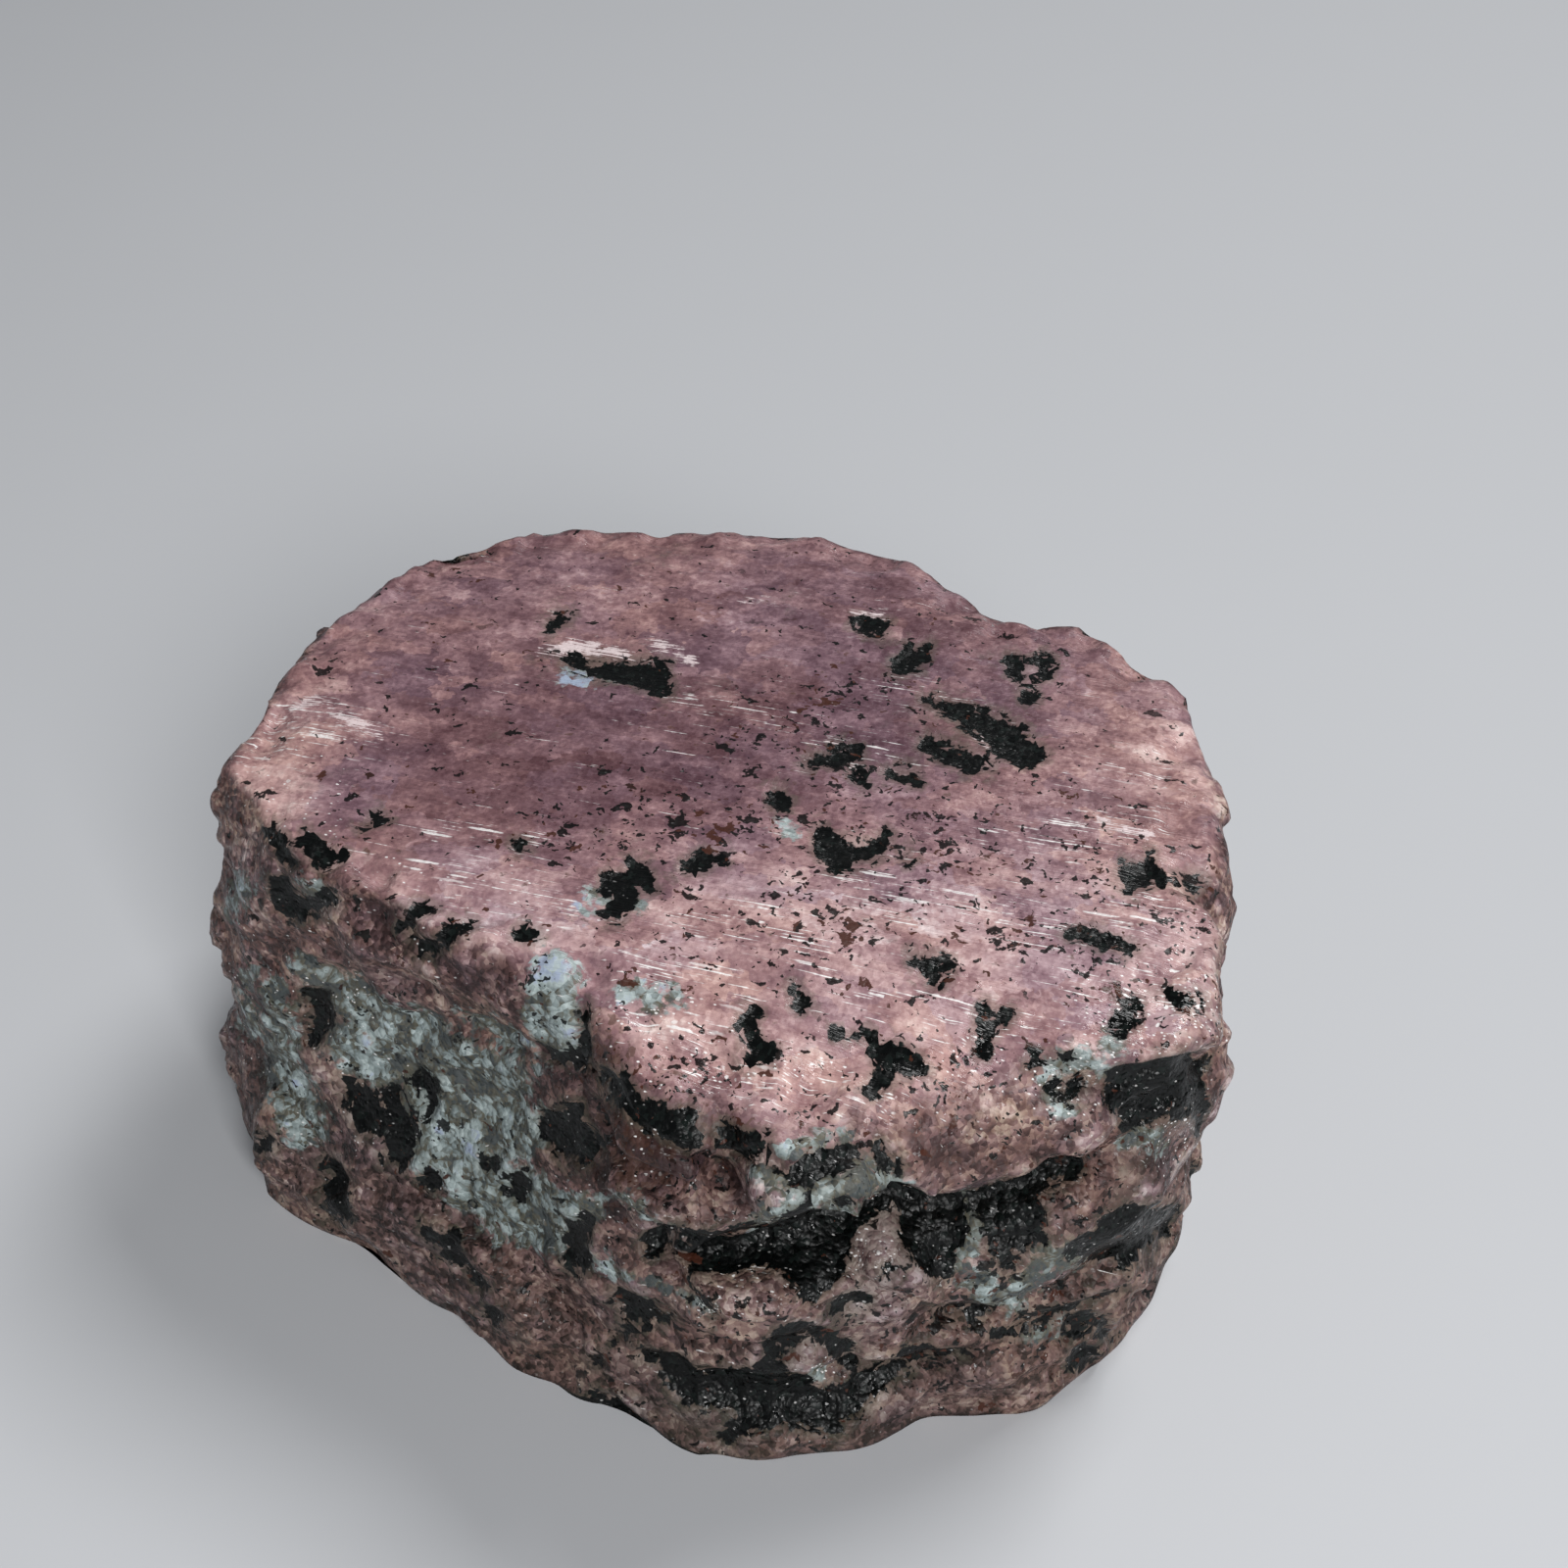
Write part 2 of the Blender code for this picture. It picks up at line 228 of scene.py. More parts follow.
# Hornblende seen in the photograph: each patch is a chain of photo column, photo row and radius in mm
HORNBLENDE = {
    "back speck": [(571, 630, 0.6), (562, 639, 0.4)],
    "dark bar": [(579, 675, 0.3), (611, 682, 0.5), (640, 685, 0.8), (668, 689, 1.1), (678, 701, 0.6)],
    "far fleck": [(880, 636, 0.5), (898, 643, 0.5)],
    "hook": [(919, 676, 0.6), (934, 668, 0.8), (949, 657, 0.4)],
    "far right fleck": [(1032, 673, 0.5), (1042, 689, 0.5)],
    "far right crumb": [(1050, 708, 0.5)],
    "far right third": [(1065, 673, 0.5), (1069, 685, 0.4)],
    "long bar": [
        (945, 712, 0.3), (975, 723, 0.7), (1000, 736, 0.9),
        (1028, 753, 1.2), (1048, 766, 1.1), (1064, 770, 0.4),
    ],
    "short bar": [(944, 757, 0.5), (962, 768, 0.7), (986, 776, 0.7), (1006, 781, 0.5)],
    "middle smear": [(826, 776, 0.4), (850, 773, 0.6), (874, 767, 0.5)],
    "middle smear foot": [(872, 786, 0.6), (880, 797, 0.5)],
    "middle crumb": [(910, 789, 0.5), (934, 791, 0.5)],
    "ring crumb": [(793, 812, 0.6), (800, 820, 0.4)],
    "star": [(838, 852, 0.5), (846, 868, 1.0), (857, 882, 0.6)],
    "star arm": [(858, 871, 0.9), (885, 867, 0.7), (903, 858, 0.4)],
    "star crumb": [(923, 871, 0.5)],
    "oval": [(698, 886, 0.4), (717, 879, 0.8), (734, 874, 0.4)],
    "speckled patch": [(619, 906, 0.8), (633, 896, 0.7), (650, 889, 0.8), (664, 906, 0.6)],
    "speckled patch foot": [(640, 911, 0.9), (624, 926, 0.7), (633, 935, 0.4)],
    "right patch": [(1172, 878, 0.5), (1166, 892, 1.0), (1156, 902, 0.7)],
    "right patch arm": [(1148, 886, 0.5), (1186, 897, 0.5)],
    "right brown": [(1214, 898, 0.7)],
    "fork": [(933, 978, 0.4), (946, 988, 0.7), (965, 983, 0.4), (951, 1001, 0.5)],
    "dot": [(813, 1008, 0.3), (820, 1021, 0.6)],
    "chain": [(771, 1028, 0.4), (761, 1043, 0.7), (768, 1061, 0.7), (776, 1073, 0.8), (763, 1084, 0.3)],
    "wedge": [
        (852, 1053, 0.3), (873, 1054, 0.4), (893, 1064, 0.5),
        (908, 1076, 0.8), (926, 1086, 0.7), (943, 1093, 0.2),
    ],
    "wedge foot": [(906, 1097, 0.5), (889, 1111, 0.5)],
    "tick": [(1003, 1027, 0.3), (1011, 1042, 0.5), (1007, 1056, 0.6), (1003, 1070, 0.4)],
    "tick arm": [(1030, 1033, 0.4), (1013, 1045, 0.5)],
    "ear": [(1151, 1023, 0.6), (1154, 1037, 0.6), (1140, 1047, 0.5), (1142, 1057, 0.3)],
    "right rim bar": [(1189, 1012, 0.4), (1217, 1023, 0.6)],
    "right rim dots": [(1095, 951, 0.4), (1156, 966, 0.5)],
    "olive fleck": [(386, 831, 0.5), (371, 840, 0.3)],
    "glint fleck": [(529, 864, 0.4)],
    "brown fleck": [(532, 955, 0.4), (545, 952, 0.4)],
    "left rim triangle": [(311, 845, 0.3), (320, 862, 0.9), (332, 872, 0.9), (345, 874, 0.4)],
    "left rim bar": [(274, 848, 0.4), (284, 862, 0.6), (292, 880, 0.5)],
    "left rim smear": [(282, 905, 0.6), (290, 922, 0.7), (320, 930, 0.5), (332, 922, 0.5), (328, 912, 0.3)],
    "ring top": [(412, 947, 0.5), (415, 937, 0.4), (425, 928, 0.3), (441, 929, 0.2)],
    "ring side": [(414, 957, 0.4), (424, 966, 0.4), (442, 970, 0.6), (452, 957, 0.4), (461, 945, 0.4)],
    "ring dots": [(472, 943, 0.3), (481, 946, 0.2)],
    "crevice": [(548, 1070, 0.4), (566, 1081, 0.5), (586, 1083, 0.7), (592, 1062, 0.5)],
    "crevice top": [(594, 1030, 0.4), (592, 1050, 0.4)],
    "left wall clump": [(318, 1020, 0.7), (326, 1034, 0.8), (318, 1056, 0.6)],
    "left wall big": [(358, 1112, 0.8), (364, 1128, 1.0), (378, 1146, 1.0)],
    "left wall twin": [(396, 1120, 0.9), (402, 1142, 1.0), (408, 1164, 1.0), (400, 1183, 0.8)],
    "crescent": [(425, 1099, 0.4), (436, 1110, 0.5), (440, 1126, 0.4), (434, 1138, 0.3)],
    "left foot spot": [(333, 1195, 0.6), (337, 1212, 0.8), (345, 1240, 0.7)],
    "left edge fleck": [(267, 1167, 0.6)],
    "middle foot": [(437, 1208, 0.8)],
    "low fleck": [(496, 1187, 0.6)],
    "round spot": [(527, 1212, 1.0)],
    "clump": [(576, 1140, 0.7), (560, 1153, 1.2), (580, 1168, 1.2), (592, 1176, 0.8)],
    "rim streak": [(437, 1255, 0.5), (456, 1270, 0.7), (470, 1290, 0.6), (489, 1312, 0.5)],
    "rim spot": [(500, 1343, 0.6)],
    "speckled foot": [(588, 1254, 0.7), (581, 1272, 0.8), (588, 1291, 0.8)],
    "corner patch": [(632, 1324, 0.6), (644, 1334, 0.9), (656, 1346, 0.8), (676, 1352, 0.4)],
    "corner patch foot": [(626, 1366, 0.3), (640, 1364, 0.4)],
    "bead one": [(618, 1101, 0.7), (628, 1110, 1.1), (640, 1122, 0.9), (652, 1133, 0.8), (665, 1142, 0.9)],
    "bead two": [(680, 1146, 1.2), (694, 1148, 1.5), (700, 1158, 1.1)],
    "drop": [(737, 1153, 0.6), (748, 1166, 1.2), (762, 1171, 1.0), (781, 1168, 0.5)],
    "slab eye": [(815, 1197, 0.5), (835, 1192, 0.9), (855, 1182, 0.9), (869, 1176, 0.5)],
    "slab eye tail": [(806, 1200, 0.2), (822, 1208, 0.4), (786, 1190, 0.3)],
    "orange-eyed spot": [(660, 1275, 0.6), (678, 1262, 0.5), (694, 1254, 0.4)],
    "tongue": [
        (694, 1262, 0.9), (722, 1278, 1.3), (745, 1276, 1.3),
        (770, 1272, 1.4), (800, 1266, 1.6), (826, 1254, 1.7),
    ],
    "tongue root": [
        (846, 1250, 1.7), (860, 1240, 1.3), (876, 1234, 0.9), (892, 1226, 0.7), (908, 1219, 0.8),
    ],
    "tongue tip": [(820, 1284, 1.7), (830, 1308, 1.1), (829, 1322, 0.5)],
    "tongue side": [(846, 1268, 1.5), (850, 1288, 1.0), (846, 1304, 0.6)],
    "hanging patch": [
        (918, 1220, 0.9), (936, 1232, 1.5), (946, 1250, 1.8), (948, 1270, 1.3), (958, 1290, 0.9),
    ],
    "hanging patch middle": [(964, 1232, 1.1), (970, 1258, 1.0), (964, 1278, 0.7)],
    "hanging patch top": [
        (1004, 1228, 1.1), (1030, 1220, 1.4), (1050, 1204, 1.0), (1074, 1196, 0.9), (1096, 1192, 0.7),
    ],
    "hanging patch right": [(1020, 1244, 1.4), (1042, 1246, 1.5), (1042, 1266, 1.2), (1062, 1266, 0.7)],
    "hanging patch foot": [(1018, 1268, 1.0), (1030, 1288, 0.7)],
    "corner black": [
        (1146, 1102, 0.7), (1166, 1100, 0.9), (1190, 1096, 1.2), (1214, 1094, 1.2), (1232, 1088, 0.8),
    ],
    "corner black middle": [(1150, 1120, 1.3), (1176, 1116, 1.8), (1200, 1112, 1.8), (1224, 1110, 1.4)],
    "corner black foot": [(1150, 1148, 0.5), (1162, 1138, 1.1), (1184, 1130, 1.0), (1206, 1122, 0.6)],
    "corner black end": [(1234, 1104, 0.7), (1232, 1130, 0.6), (1227, 1152, 0.4)],
    "corner dusk": [(1074, 1112, 0.4), (1094, 1116, 0.6), (1112, 1106, 0.5)],
    "rim shadow": [(1048, 1082, 0.4), (1072, 1082, 0.3), (1094, 1076, 0.3)],
    "right streak": [
        (1100, 1276, 0.7), (1120, 1272, 1.2), (1140, 1266, 1.8),
        (1156, 1258, 1.8), (1176, 1250, 1.4), (1198, 1246, 1.0),
    ],
    "right streak foot": [(1136, 1284, 0.5), (1116, 1290, 0.2)],
    "middle streak": [
        (1044, 1346, 0.4), (1066, 1346, 0.4), (1086, 1343, 0.4),
        (1104, 1335, 0.5), (1122, 1328, 0.5), (1150, 1318, 0.3),
    ],
    "low streak": [(1018, 1362, 0.3), (1036, 1360, 0.5), (1060, 1353, 0.3), (1076, 1355, 0.3)],
    "low shade": [(1098, 1358, 0.6), (1120, 1355, 0.5), (1136, 1365, 0.3)],
    "low spot": [(1108, 1390, 0.8)],
    "low crumbs": [(1000, 1335, 0.5), (970, 1338, 0.5), (960, 1342, 0.3)],
    "low olive": [(926, 1386, 0.5), (944, 1381, 0.7), (962, 1384, 0.5), (984, 1388, 0.3)],
    "under-slab flecks": [(896, 1170, 0.5), (908, 1190, 0.5)],
    "fold fleck": [(854, 1340, 0.4), (870, 1335, 0.6), (884, 1330, 0.4)],
    "fold spot": [(705, 1315, 0.4), (712, 1326, 0.2), (728, 1340, 0.2), (722, 1352, 0.5)],
    "fold corner": [(907, 1299, 0.5)],
    "foot band": [
        (655, 1384, 0.4), (672, 1390, 0.5), (690, 1405, 1.0),
        (702, 1420, 1.1), (730, 1420, 1.2), (760, 1420, 1.4),
    ],
    "foot band middle": [(784, 1416, 1.6), (790, 1438, 1.5), (762, 1450, 1.0), (741, 1467, 0.4)],
    "foot band right": [
        (814, 1430, 1.6), (842, 1440, 1.5), (870, 1432, 1.2),
        (886, 1415, 0.9), (902, 1402, 0.6), (922, 1392, 0.5),
    ],
    "foot edge": [(600, 1424, 0.3), (626, 1430, 0.4), (639, 1446, 0.3)],
    "foot fleck": [(608, 1390, 0.5)],
    "hook curl": [
        (790, 1388, 0.7), (802, 1373, 0.7), (822, 1364, 0.6),
        (842, 1370, 0.6), (860, 1378, 0.7), (868, 1388, 0.4),
    ],
}

# Pale blue-grey rock seen in the photograph, in the same form
PALE_ROCK = {
    "rim patch": [(560, 984, 1.1), (564, 1004, 1.8), (564, 1030, 1.9), (568, 1054, 1.5), (574, 1074, 0.7)],
    "lens": [(476, 1042, 0.6), (498, 1050, 1.0), (520, 1062, 0.9), (536, 1074, 0.4)],
    "upper field": [
        (308, 985, 0.9), (330, 1006, 1.2), (352, 1020, 1.6), (392, 1046, 1.8), (436, 1062, 1.6),
    ],
    "upper field foot": [
        (352, 1060, 1.4), (372, 1084, 1.5), (420, 1080, 2.0), (470, 1090, 1.8), (520, 1104, 1.4),
    ],
    "middle field": [(440, 1120, 2.4), (478, 1140, 2.8), (520, 1150, 2.2)],
    "lower field": [
        (440, 1170, 2.0), (472, 1188, 2.2), (500, 1210, 2.2), (542, 1232, 1.8), (590, 1240, 1.2),
    ],
    "foot field": [(470, 1226, 1.2), (520, 1250, 1.4), (560, 1262, 1.2)],
    "left field": [(276, 1010, 0.9), (284, 1060, 1.2), (296, 1110, 1.5), (308, 1150, 1.5)],
    "edge field": [(250, 1000, 0.7), (256, 1050, 0.7)],
    "rim eye": [(314, 912, 0.7), (304, 904, 0.5)],
    "left eye": [(244, 908, 0.8), (236, 928, 0.6)],
    "patch eye": [(596, 926, 0.7), (602, 916, 0.5), (650, 920, 0.4)],
    "bar eye": [(582, 686, 0.6), (600, 690, 0.4), (618, 692, 0.3)],
    "middle eye": [(796, 845, 0.4), (812, 848, 0.4)],
    "nose eye": [(634, 1012, 0.5), (652, 1010, 0.7), (672, 1020, 0.5), (692, 1018, 0.6)],
    "bead eye": [(626, 1110, 0.4)],
    "slab band": [
        (772, 1244, 0.6), (792, 1236, 0.9), (815, 1224, 1.0),
        (848, 1213, 1.0), (884, 1202, 0.9), (918, 1206, 0.8),
    ],
    "slab olive": [(806, 1172, 0.4), (838, 1166, 0.6), (868, 1160, 0.4)],
    "slab pale": [(772, 1192, 0.6), (796, 1204, 0.6), (880, 1190, 0.6)],
    "hanging eye": [(986, 1230, 1.1), (993, 1250, 1.4), (991, 1272, 1.1)],
    "wedge rock": [
        (976, 1290, 0.6), (992, 1304, 0.9), (1010, 1314, 1.0), (1030, 1325, 1.0), (1046, 1308, 0.8),
    ],
    "wedge rock right": [(1046, 1308, 0.8), (1062, 1290, 0.7), (1080, 1277, 0.7), (1096, 1281, 0.8)],
    "rim rock": [(1074, 1090, 0.7), (1094, 1086, 0.8), (1108, 1080, 0.7), (1122, 1090, 0.7)],
    "rim rock top": [(1135, 1066, 0.7)],
    "rim rock foot": [(1080, 1126, 0.8), (1092, 1130, 0.5)],
    "corner rock": [(1148, 1170, 0.6), (1165, 1161, 0.9), (1181, 1166, 0.6)],
    "curl eye": [(836, 1400, 0.6)],
    "lilac streak": [(1058, 1370, 0.3), (1078, 1361, 0.5)],
    "foot rock": [(592, 1280, 0.4), (722, 1338, 0.4)],
    "tongue rock": [(640, 1222, 0.6), (656, 1240, 0.6), (700, 1262, 0.4)],
    "low rock": [(950, 1272, 0.6)],
    "far rock": [(1020, 618, 0.7)],
}

# Random patches of the sides that the photograph doesn't show: how many, their least and most radius in mm,
# and a seed. Then each one's number of places, its step in radii, the share of the radius that it loses at
# each step, and how much it keeps level.
HIDDEN_HORNBLENDE = (90, (0.6, 2.4), 5)
HIDDEN_ROCK = (18, (1.2, 3.4), 8)
HIDDEN_PLACES = 3
HIDDEN_STEP = 1.6
HIDDEN_TAPER = 0.25
HIDDEN_LEVELLING = 0.6

# Creases between the lobes and ledges, sunk and darkened with painted shade, in the same form as the
# hornblende
CREASES = {
    "scoop end": [
        (495, 1040, 0.3), (525, 1060, 0.4), (550, 1085, 0.4),
        (580, 1110, 0.4), (600, 1160, 0.4), (620, 1200, 0.3),
    ],
    "lens edge": [(465, 1032, 0.2), (480, 1055, 0.2), (500, 1067, 0.2), (520, 1075, 0.2), (545, 1090, 0.2)],
    "left ridge": [(285, 1110, 0.2), (312, 1160, 0.3), (332, 1205, 0.3), (352, 1245, 0.2)],
    "foot line": [(415, 1222, 0.2), (460, 1244, 0.3), (500, 1270, 0.3), (530, 1315, 0.3), (575, 1352, 0.2)],
    "nose side": [(594, 1010, 0.3), (588, 1050, 0.4), (604, 1086, 0.3), (622, 1104, 0.3)],
    "under nose": [
        (622, 1104, 0.3), (660, 1160, 0.4), (700, 1178, 0.4), (741, 1182, 0.3), (790, 1176, 0.3),
    ],
    "between lobes": [(742, 1082, 0.2), (748, 1110, 0.3), (760, 1140, 0.2)],
    "slab start": [(864, 1150, 0.2), (880, 1180, 0.3), (909, 1206, 0.3)],
    "lilac wedge": [(880, 1262, 0.2), (872, 1296, 0.3), (890, 1318, 0.2)],
}

# Lips where one layer of the stone overhangs the next, from left to right: how far the stone stands out above
# the lip in mm, then the photo column and row of each place
LIPS = {
    "upper layer": (0.8, [
        (622, 1218), (650, 1238), (690, 1256), (727, 1264), (783, 1250), (811, 1244), (860, 1227),
    ]),
    "upper slab": (0.9, [
        (880, 1216), (909, 1209), (972, 1214), (1028, 1199), (1070, 1181), (1112, 1171), (1146, 1158),
    ]),
    "corner": (0.5, [(1070, 1080), (1098, 1084), (1126, 1090), (1161, 1088), (1196, 1083), (1232, 1070)]),
    "second slab": (0.5, [
        (1014, 1332), (1063, 1311), (1098, 1293), (1140, 1276), (1182, 1256), (1204, 1242),
    ]),
    "lower slab": (0.5, [(944, 1388), (1000, 1374), (1056, 1350), (1112, 1332), (1161, 1316)]),
    "folded lobe": (0.7, [(694, 1296), (706, 1318), (726, 1338), (758, 1350), (797, 1348), (818, 1330)]),
    "lilac wedge": (0.5, [(874, 1262), (880, 1290), (896, 1312), (930, 1322)]),
    "nose underside": (0.5, [(606, 1098), (622, 1122), (650, 1150), (690, 1172), (741, 1180), (790, 1180)]),
    "scoop": (0.5, [
        (284, 962), (330, 984), (365, 992), (390, 1024),
        (425, 1032), (480, 1036), (520, 1052), (552, 1078),
    ]),
    "scoop foot": (-0.5, [(330, 1216), (400, 1224), (450, 1244), (500, 1268), (530, 1306), (560, 1344)]),
}

# White smears, partly where the grinding bruised the ground face and partly painted highlight, in the same
# form as the hornblende
BRUISE_HIGHLIGHTS = {
    "big mark": [(552, 664, 0.1), (578, 660, 0.35), (606, 661, 0.3), (644, 669, 0.1)],
    "big mark right": [(664, 654, 0.1), (686, 663, 0.2), (704, 673, 0.15)],
    "left mark": [(340, 727, 0.1), (360, 736, 0.15), (386, 748, 0.1)],
    "left mark two": [(302, 722, 0.1), (322, 712, 0.1)],
    "far mark": [(760, 611, 0.1), (788, 613, 0.1)],
    "fleck mark": [(874, 626, 0.1), (898, 628, 0.15)],
    "bar mark": [(1001, 752, 0.1), (1024, 760, 0.15)],
    "short bar mark": [(846, 758, 0.1), (862, 762, 0.1)],
    "right mark": [(1120, 838, 0.1), (1150, 846, 0.15), (1172, 850, 0.1)],
}

# Where thin bright grinding marks, painted as highlights, crowd together, in the same form
GLINTS = {
    "nose ridge": [(636, 1024, 0.5), (668, 1040, 1.0), (700, 1052, 1.0), (728, 1060, 0.5)],
    "nose right": [(706, 1092, 0.4), (732, 1108, 0.6)],
    "tongue ridge": [(780, 1082, 0.4), (820, 1088, 0.6), (850, 1096, 0.4)],
    "rim band": [(432, 898, 0.8), (500, 906, 1.2), (570, 928, 1.0)],
    "rim lines": [(440, 846, 0.3), (500, 852, 0.3), (556, 858, 0.4)],
    "left corner": [(250, 760, 1.4), (320, 740, 1.4), (370, 740, 1.0)],
    "middle lines": [(708, 712, 0.3), (764, 722, 0.2), (800, 734, 0.2)],
    "bar lines": [(904, 698, 0.2), (938, 704, 0.2), (986, 716, 0.2), (1022, 728, 0.2)],
    "star lines": [(838, 756, 0.2), (872, 764, 0.2), (910, 768, 0.2)],
    "right lines": [(1020, 860, 0.8), (1100, 850, 1.0), (1170, 842, 0.8)],
    "right rim": [(1100, 800, 0.8), (1180, 790, 0.8)],
    "wide band": [(870, 900, 1.2), (960, 928, 1.4), (1080, 950, 1.2), (1180, 930, 0.9)],
    "front band": [(700, 940, 1.0), (800, 936, 0.8), (860, 990, 1.0)],
    "front lines": [(880, 1030, 1.0), (960, 1030, 1.4), (1030, 1040, 1.0)],
    "nose lines": [(640, 984, 1.0), (700, 996, 1.2), (760, 1004, 0.8)],
    "corner lines": [(1080, 1010, 1.0), (1160, 1000, 1.2), (1220, 1010, 1.0)],
    "tongue lines": [(760, 1110, 0.8), (830, 1100, 0.8), (900, 1130, 0.8)],
}

# Where small dark specks crowd together, in the same form
SPECKS = {
    "middle band": [
        (560, 850, 0.6), (640, 840, 1.2), (720, 836, 1.6),
        (790, 850, 1.8), (850, 896, 2.0), (900, 900, 1.6),
    ],
    "right band": [(880, 820, 1.2), (960, 860, 1.8), (1030, 880, 2.2), (1110, 880, 1.6)],
    "far band": [(760, 760, 0.8), (840, 740, 1.0), (900, 700, 1.0)],
    "front band": [(700, 940, 1.6), (740, 970, 1.6), (830, 950, 1.6), (900, 960, 1.4)],
    "front edge": [(620, 1050, 1.0), (640, 1080, 1.6), (700, 1120, 1.8), (740, 1140, 1.4)],
    "corner band": [(980, 950, 1.6), (1060, 970, 1.8), (1140, 980, 2.2), (1210, 970, 1.8)],
    "slab": [(940, 1060, 1.4), (1000, 1110, 1.6), (1060, 1140, 1.4), (1000, 1160, 1.2)],
    "tongue lobe": [(790, 1080, 1.0), (830, 1130, 1.2)],
    "second slab": [(1080, 1200, 1.2), (1150, 1230, 1.6)],
    "lower slab": [(910, 1330, 1.2), (970, 1380, 1.4)],
    "lower right": [(990, 1310, 1.2), (1060, 1330, 1.6), (1110, 1380, 1.6)],
    "fold foot": [(720, 1350, 1.0), (780, 1366, 1.2)],
    "nose foot": [(690, 1180, 1.0), (740, 1220, 1.0)],
}

# Light and dark places of the ruby: photo column and row, half width and half height in pixels, tone added.
# Some are painted light rather than the ruby's own tone: the lighter rims, ridges and lobes are partly
# painted highlight, and the nose underside is painted shade.
TONES = {
    "left corner": (282, 800, 44, 40, 0.34),
    "left rim": (300, 730, 60, 34, 0.10),
    "rim above scoop": (400, 888, 90, 20, 0.16),
    "rim above lens": (500, 950, 80, 26, 0.24),
    "deep heart": (500, 770, 170, 80, -0.13),
    "deep middle": (690, 770, 150, 60, -0.17),
    "deep back": (900, 640, 110, 46, -0.12),
    "deep bar": (950, 730, 100, 34, -0.14),
    "back rim": (700, 560, 260, 30, -0.05),
    "right field": (1160, 780, 90, 120, 0.06),
    "right cream": (1186, 764, 22, 30, 0.16),
    "front field": (900, 970, 280, 80, 0.12),
    "nose lobe": (706, 1062, 46, 36, 0.06),
    # Painted highlight on the nose ridge and painted shade on its underside
    "nose ridge": (690, 1044, 40, 14, 0.12),
    "nose underside": (690, 1132, 50, 20, -0.10),
    "tongue lobe": (810, 1118, 60, 36, 0.10),
    "slab edge": (1000, 1090, 120, 30, 0.10),
    "corner edge": (1216, 1000, 40, 60, 0.14),
    "back notch": (1010, 640, 60, 24, -0.08),
    "under slab": (980, 1150, 90, 34, 0.22),
    "second slab": (1150, 1210, 60, 30, -0.01),
    "folded lobe": (770, 1312, 50, 30, 0.32),
    "lilac wedge": (902, 1262, 24, 40, 0.42),
    "second layer": (850, 1345, 60, 22, 0.10),
    "brown lobe": (660, 1190, 46, 50, -0.14),
    "scoop foot": (520, 1325, 80, 50, -0.07),
    "lower right": (1110, 1310, 80, 80, -0.07),
    "top front": (880, 930, 200, 36, 0.07),
    "slab foot": (740, 1225, 50, 28, 0.05),
    "lower slab": (900, 1350, 60, 34, 0.06),
    "lower slab right": (1100, 1376, 70, 24, 0.06),
}

# Where sugary grains glitter, painted as white dots and made glossier: photo column and row, half width and
# half height, share of the grains
SUGAR = {
    "left corner": (290, 790, 40, 34, 0.06),
    "left rim": (340, 840, 30, 16, 0.03),
    "rim above scoop": (440, 894, 60, 18, 0.03),
    "rim above lens": (530, 930, 50, 24, 0.04),
    "nose lobe": (690, 1054, 44, 20, 0.12),
    "nose ridge": (650, 1030, 26, 14, 0.15),
    "nose right": (722, 1104, 26, 14, 0.12),
    "tongue lobe": (818, 1088, 34, 12, 0.15),
    "front rim": (990, 1090, 24, 24, 0.16),
    "rim rock": (1088, 1104, 24, 22, 0.20),
    "right front corner": (1196, 1044, 44, 22, 0.20),
    "ear": (1140, 1044, 26, 18, 0.18),
    "right rim": (1216, 990, 22, 34, 0.14),
    "corner foot": (1206, 1156, 18, 22, 0.22),
    "lilac wedge": (892, 1282, 20, 16, 0.26),
    "folded lobe": (766, 1306, 30, 18, 0.18),
    "fold spot": (718, 1336, 9, 9, 0.50),
    "nose foot": (660, 1166, 14, 22, 0.14),
    "corner black": (1180, 1112, 50, 26, 0.06),
    "curl": (842, 1398, 12, 9, 0.16),
    "left wall": (330, 1040, 80, 90, 0.03),
    "scoop foot": (620, 1230, 30, 20, 0.08),
}

# Parts that are worn smoother than the rest of the walls: photo column and row, half width and half height,
# and how much smoother
SMOOTH = {
    "upper slab": (985, 1145, 110, 40, 0.75),
    "tongue lobe": (815, 1120, 60, 50, 0.75),
    "nose lobe": (690, 1080, 64, 56, 0.75),
    "nose foot": (730, 1205, 80, 44, 0.70),
    "second slab": (1130, 1215, 80, 40, 0.70),
    "folded lobe": (770, 1315, 60, 36, 0.70),
    "lower slab": (900, 1345, 110, 36, 0.70),
    "scoop": (450, 1110, 110, 70, 0.45),
    "right wall": (1230, 1150, 60, 200, 0.45),
    "right corner": (1240, 1050, 24, 60, 0.50),
    "left edge": (215, 950, 30, 130, 0.35),
}

# Where rust-brown grains crowd together, in the same form as the smooth parts
RUSTY = {
    "brown lobe": (652, 1180, 40, 52, 0.60),
    "nose side": (618, 1078, 20, 26, 0.55),
    "brown lobe right": (760, 1150, 30, 14, 0.35),
    "front middle": (1000, 1180, 60, 14, 0.25),
    "lower slab": (1110, 1390, 60, 40, 0.25),
}

# Lighter and darker places of the pale rock, in the same form
ROCK_TONES = {
    "rim patch": (564, 1028, 24, 50, 0.22),
    "bar eye": (596, 688, 26, 12, 0.36),
    "patch eye": (610, 922, 24, 12, 0.12),
    "left eye": (240, 916, 20, 20, 0.10),
    "field end": (500, 1205, 44, 34, 0.10),
    "upper field": (326, 1000, 50, 30, -0.20),
    "slab olive": (838, 1164, 44, 10, -0.22),
    "slab band": (840, 1220, 80, 18, -0.16),
    "hanging eye": (990, 1250, 20, 30, -0.06),
    "wedge rock right": (1080, 1284, 40, 20, -0.14),
    "wedge rock": (1030, 1312, 30, 20, -0.10),
}

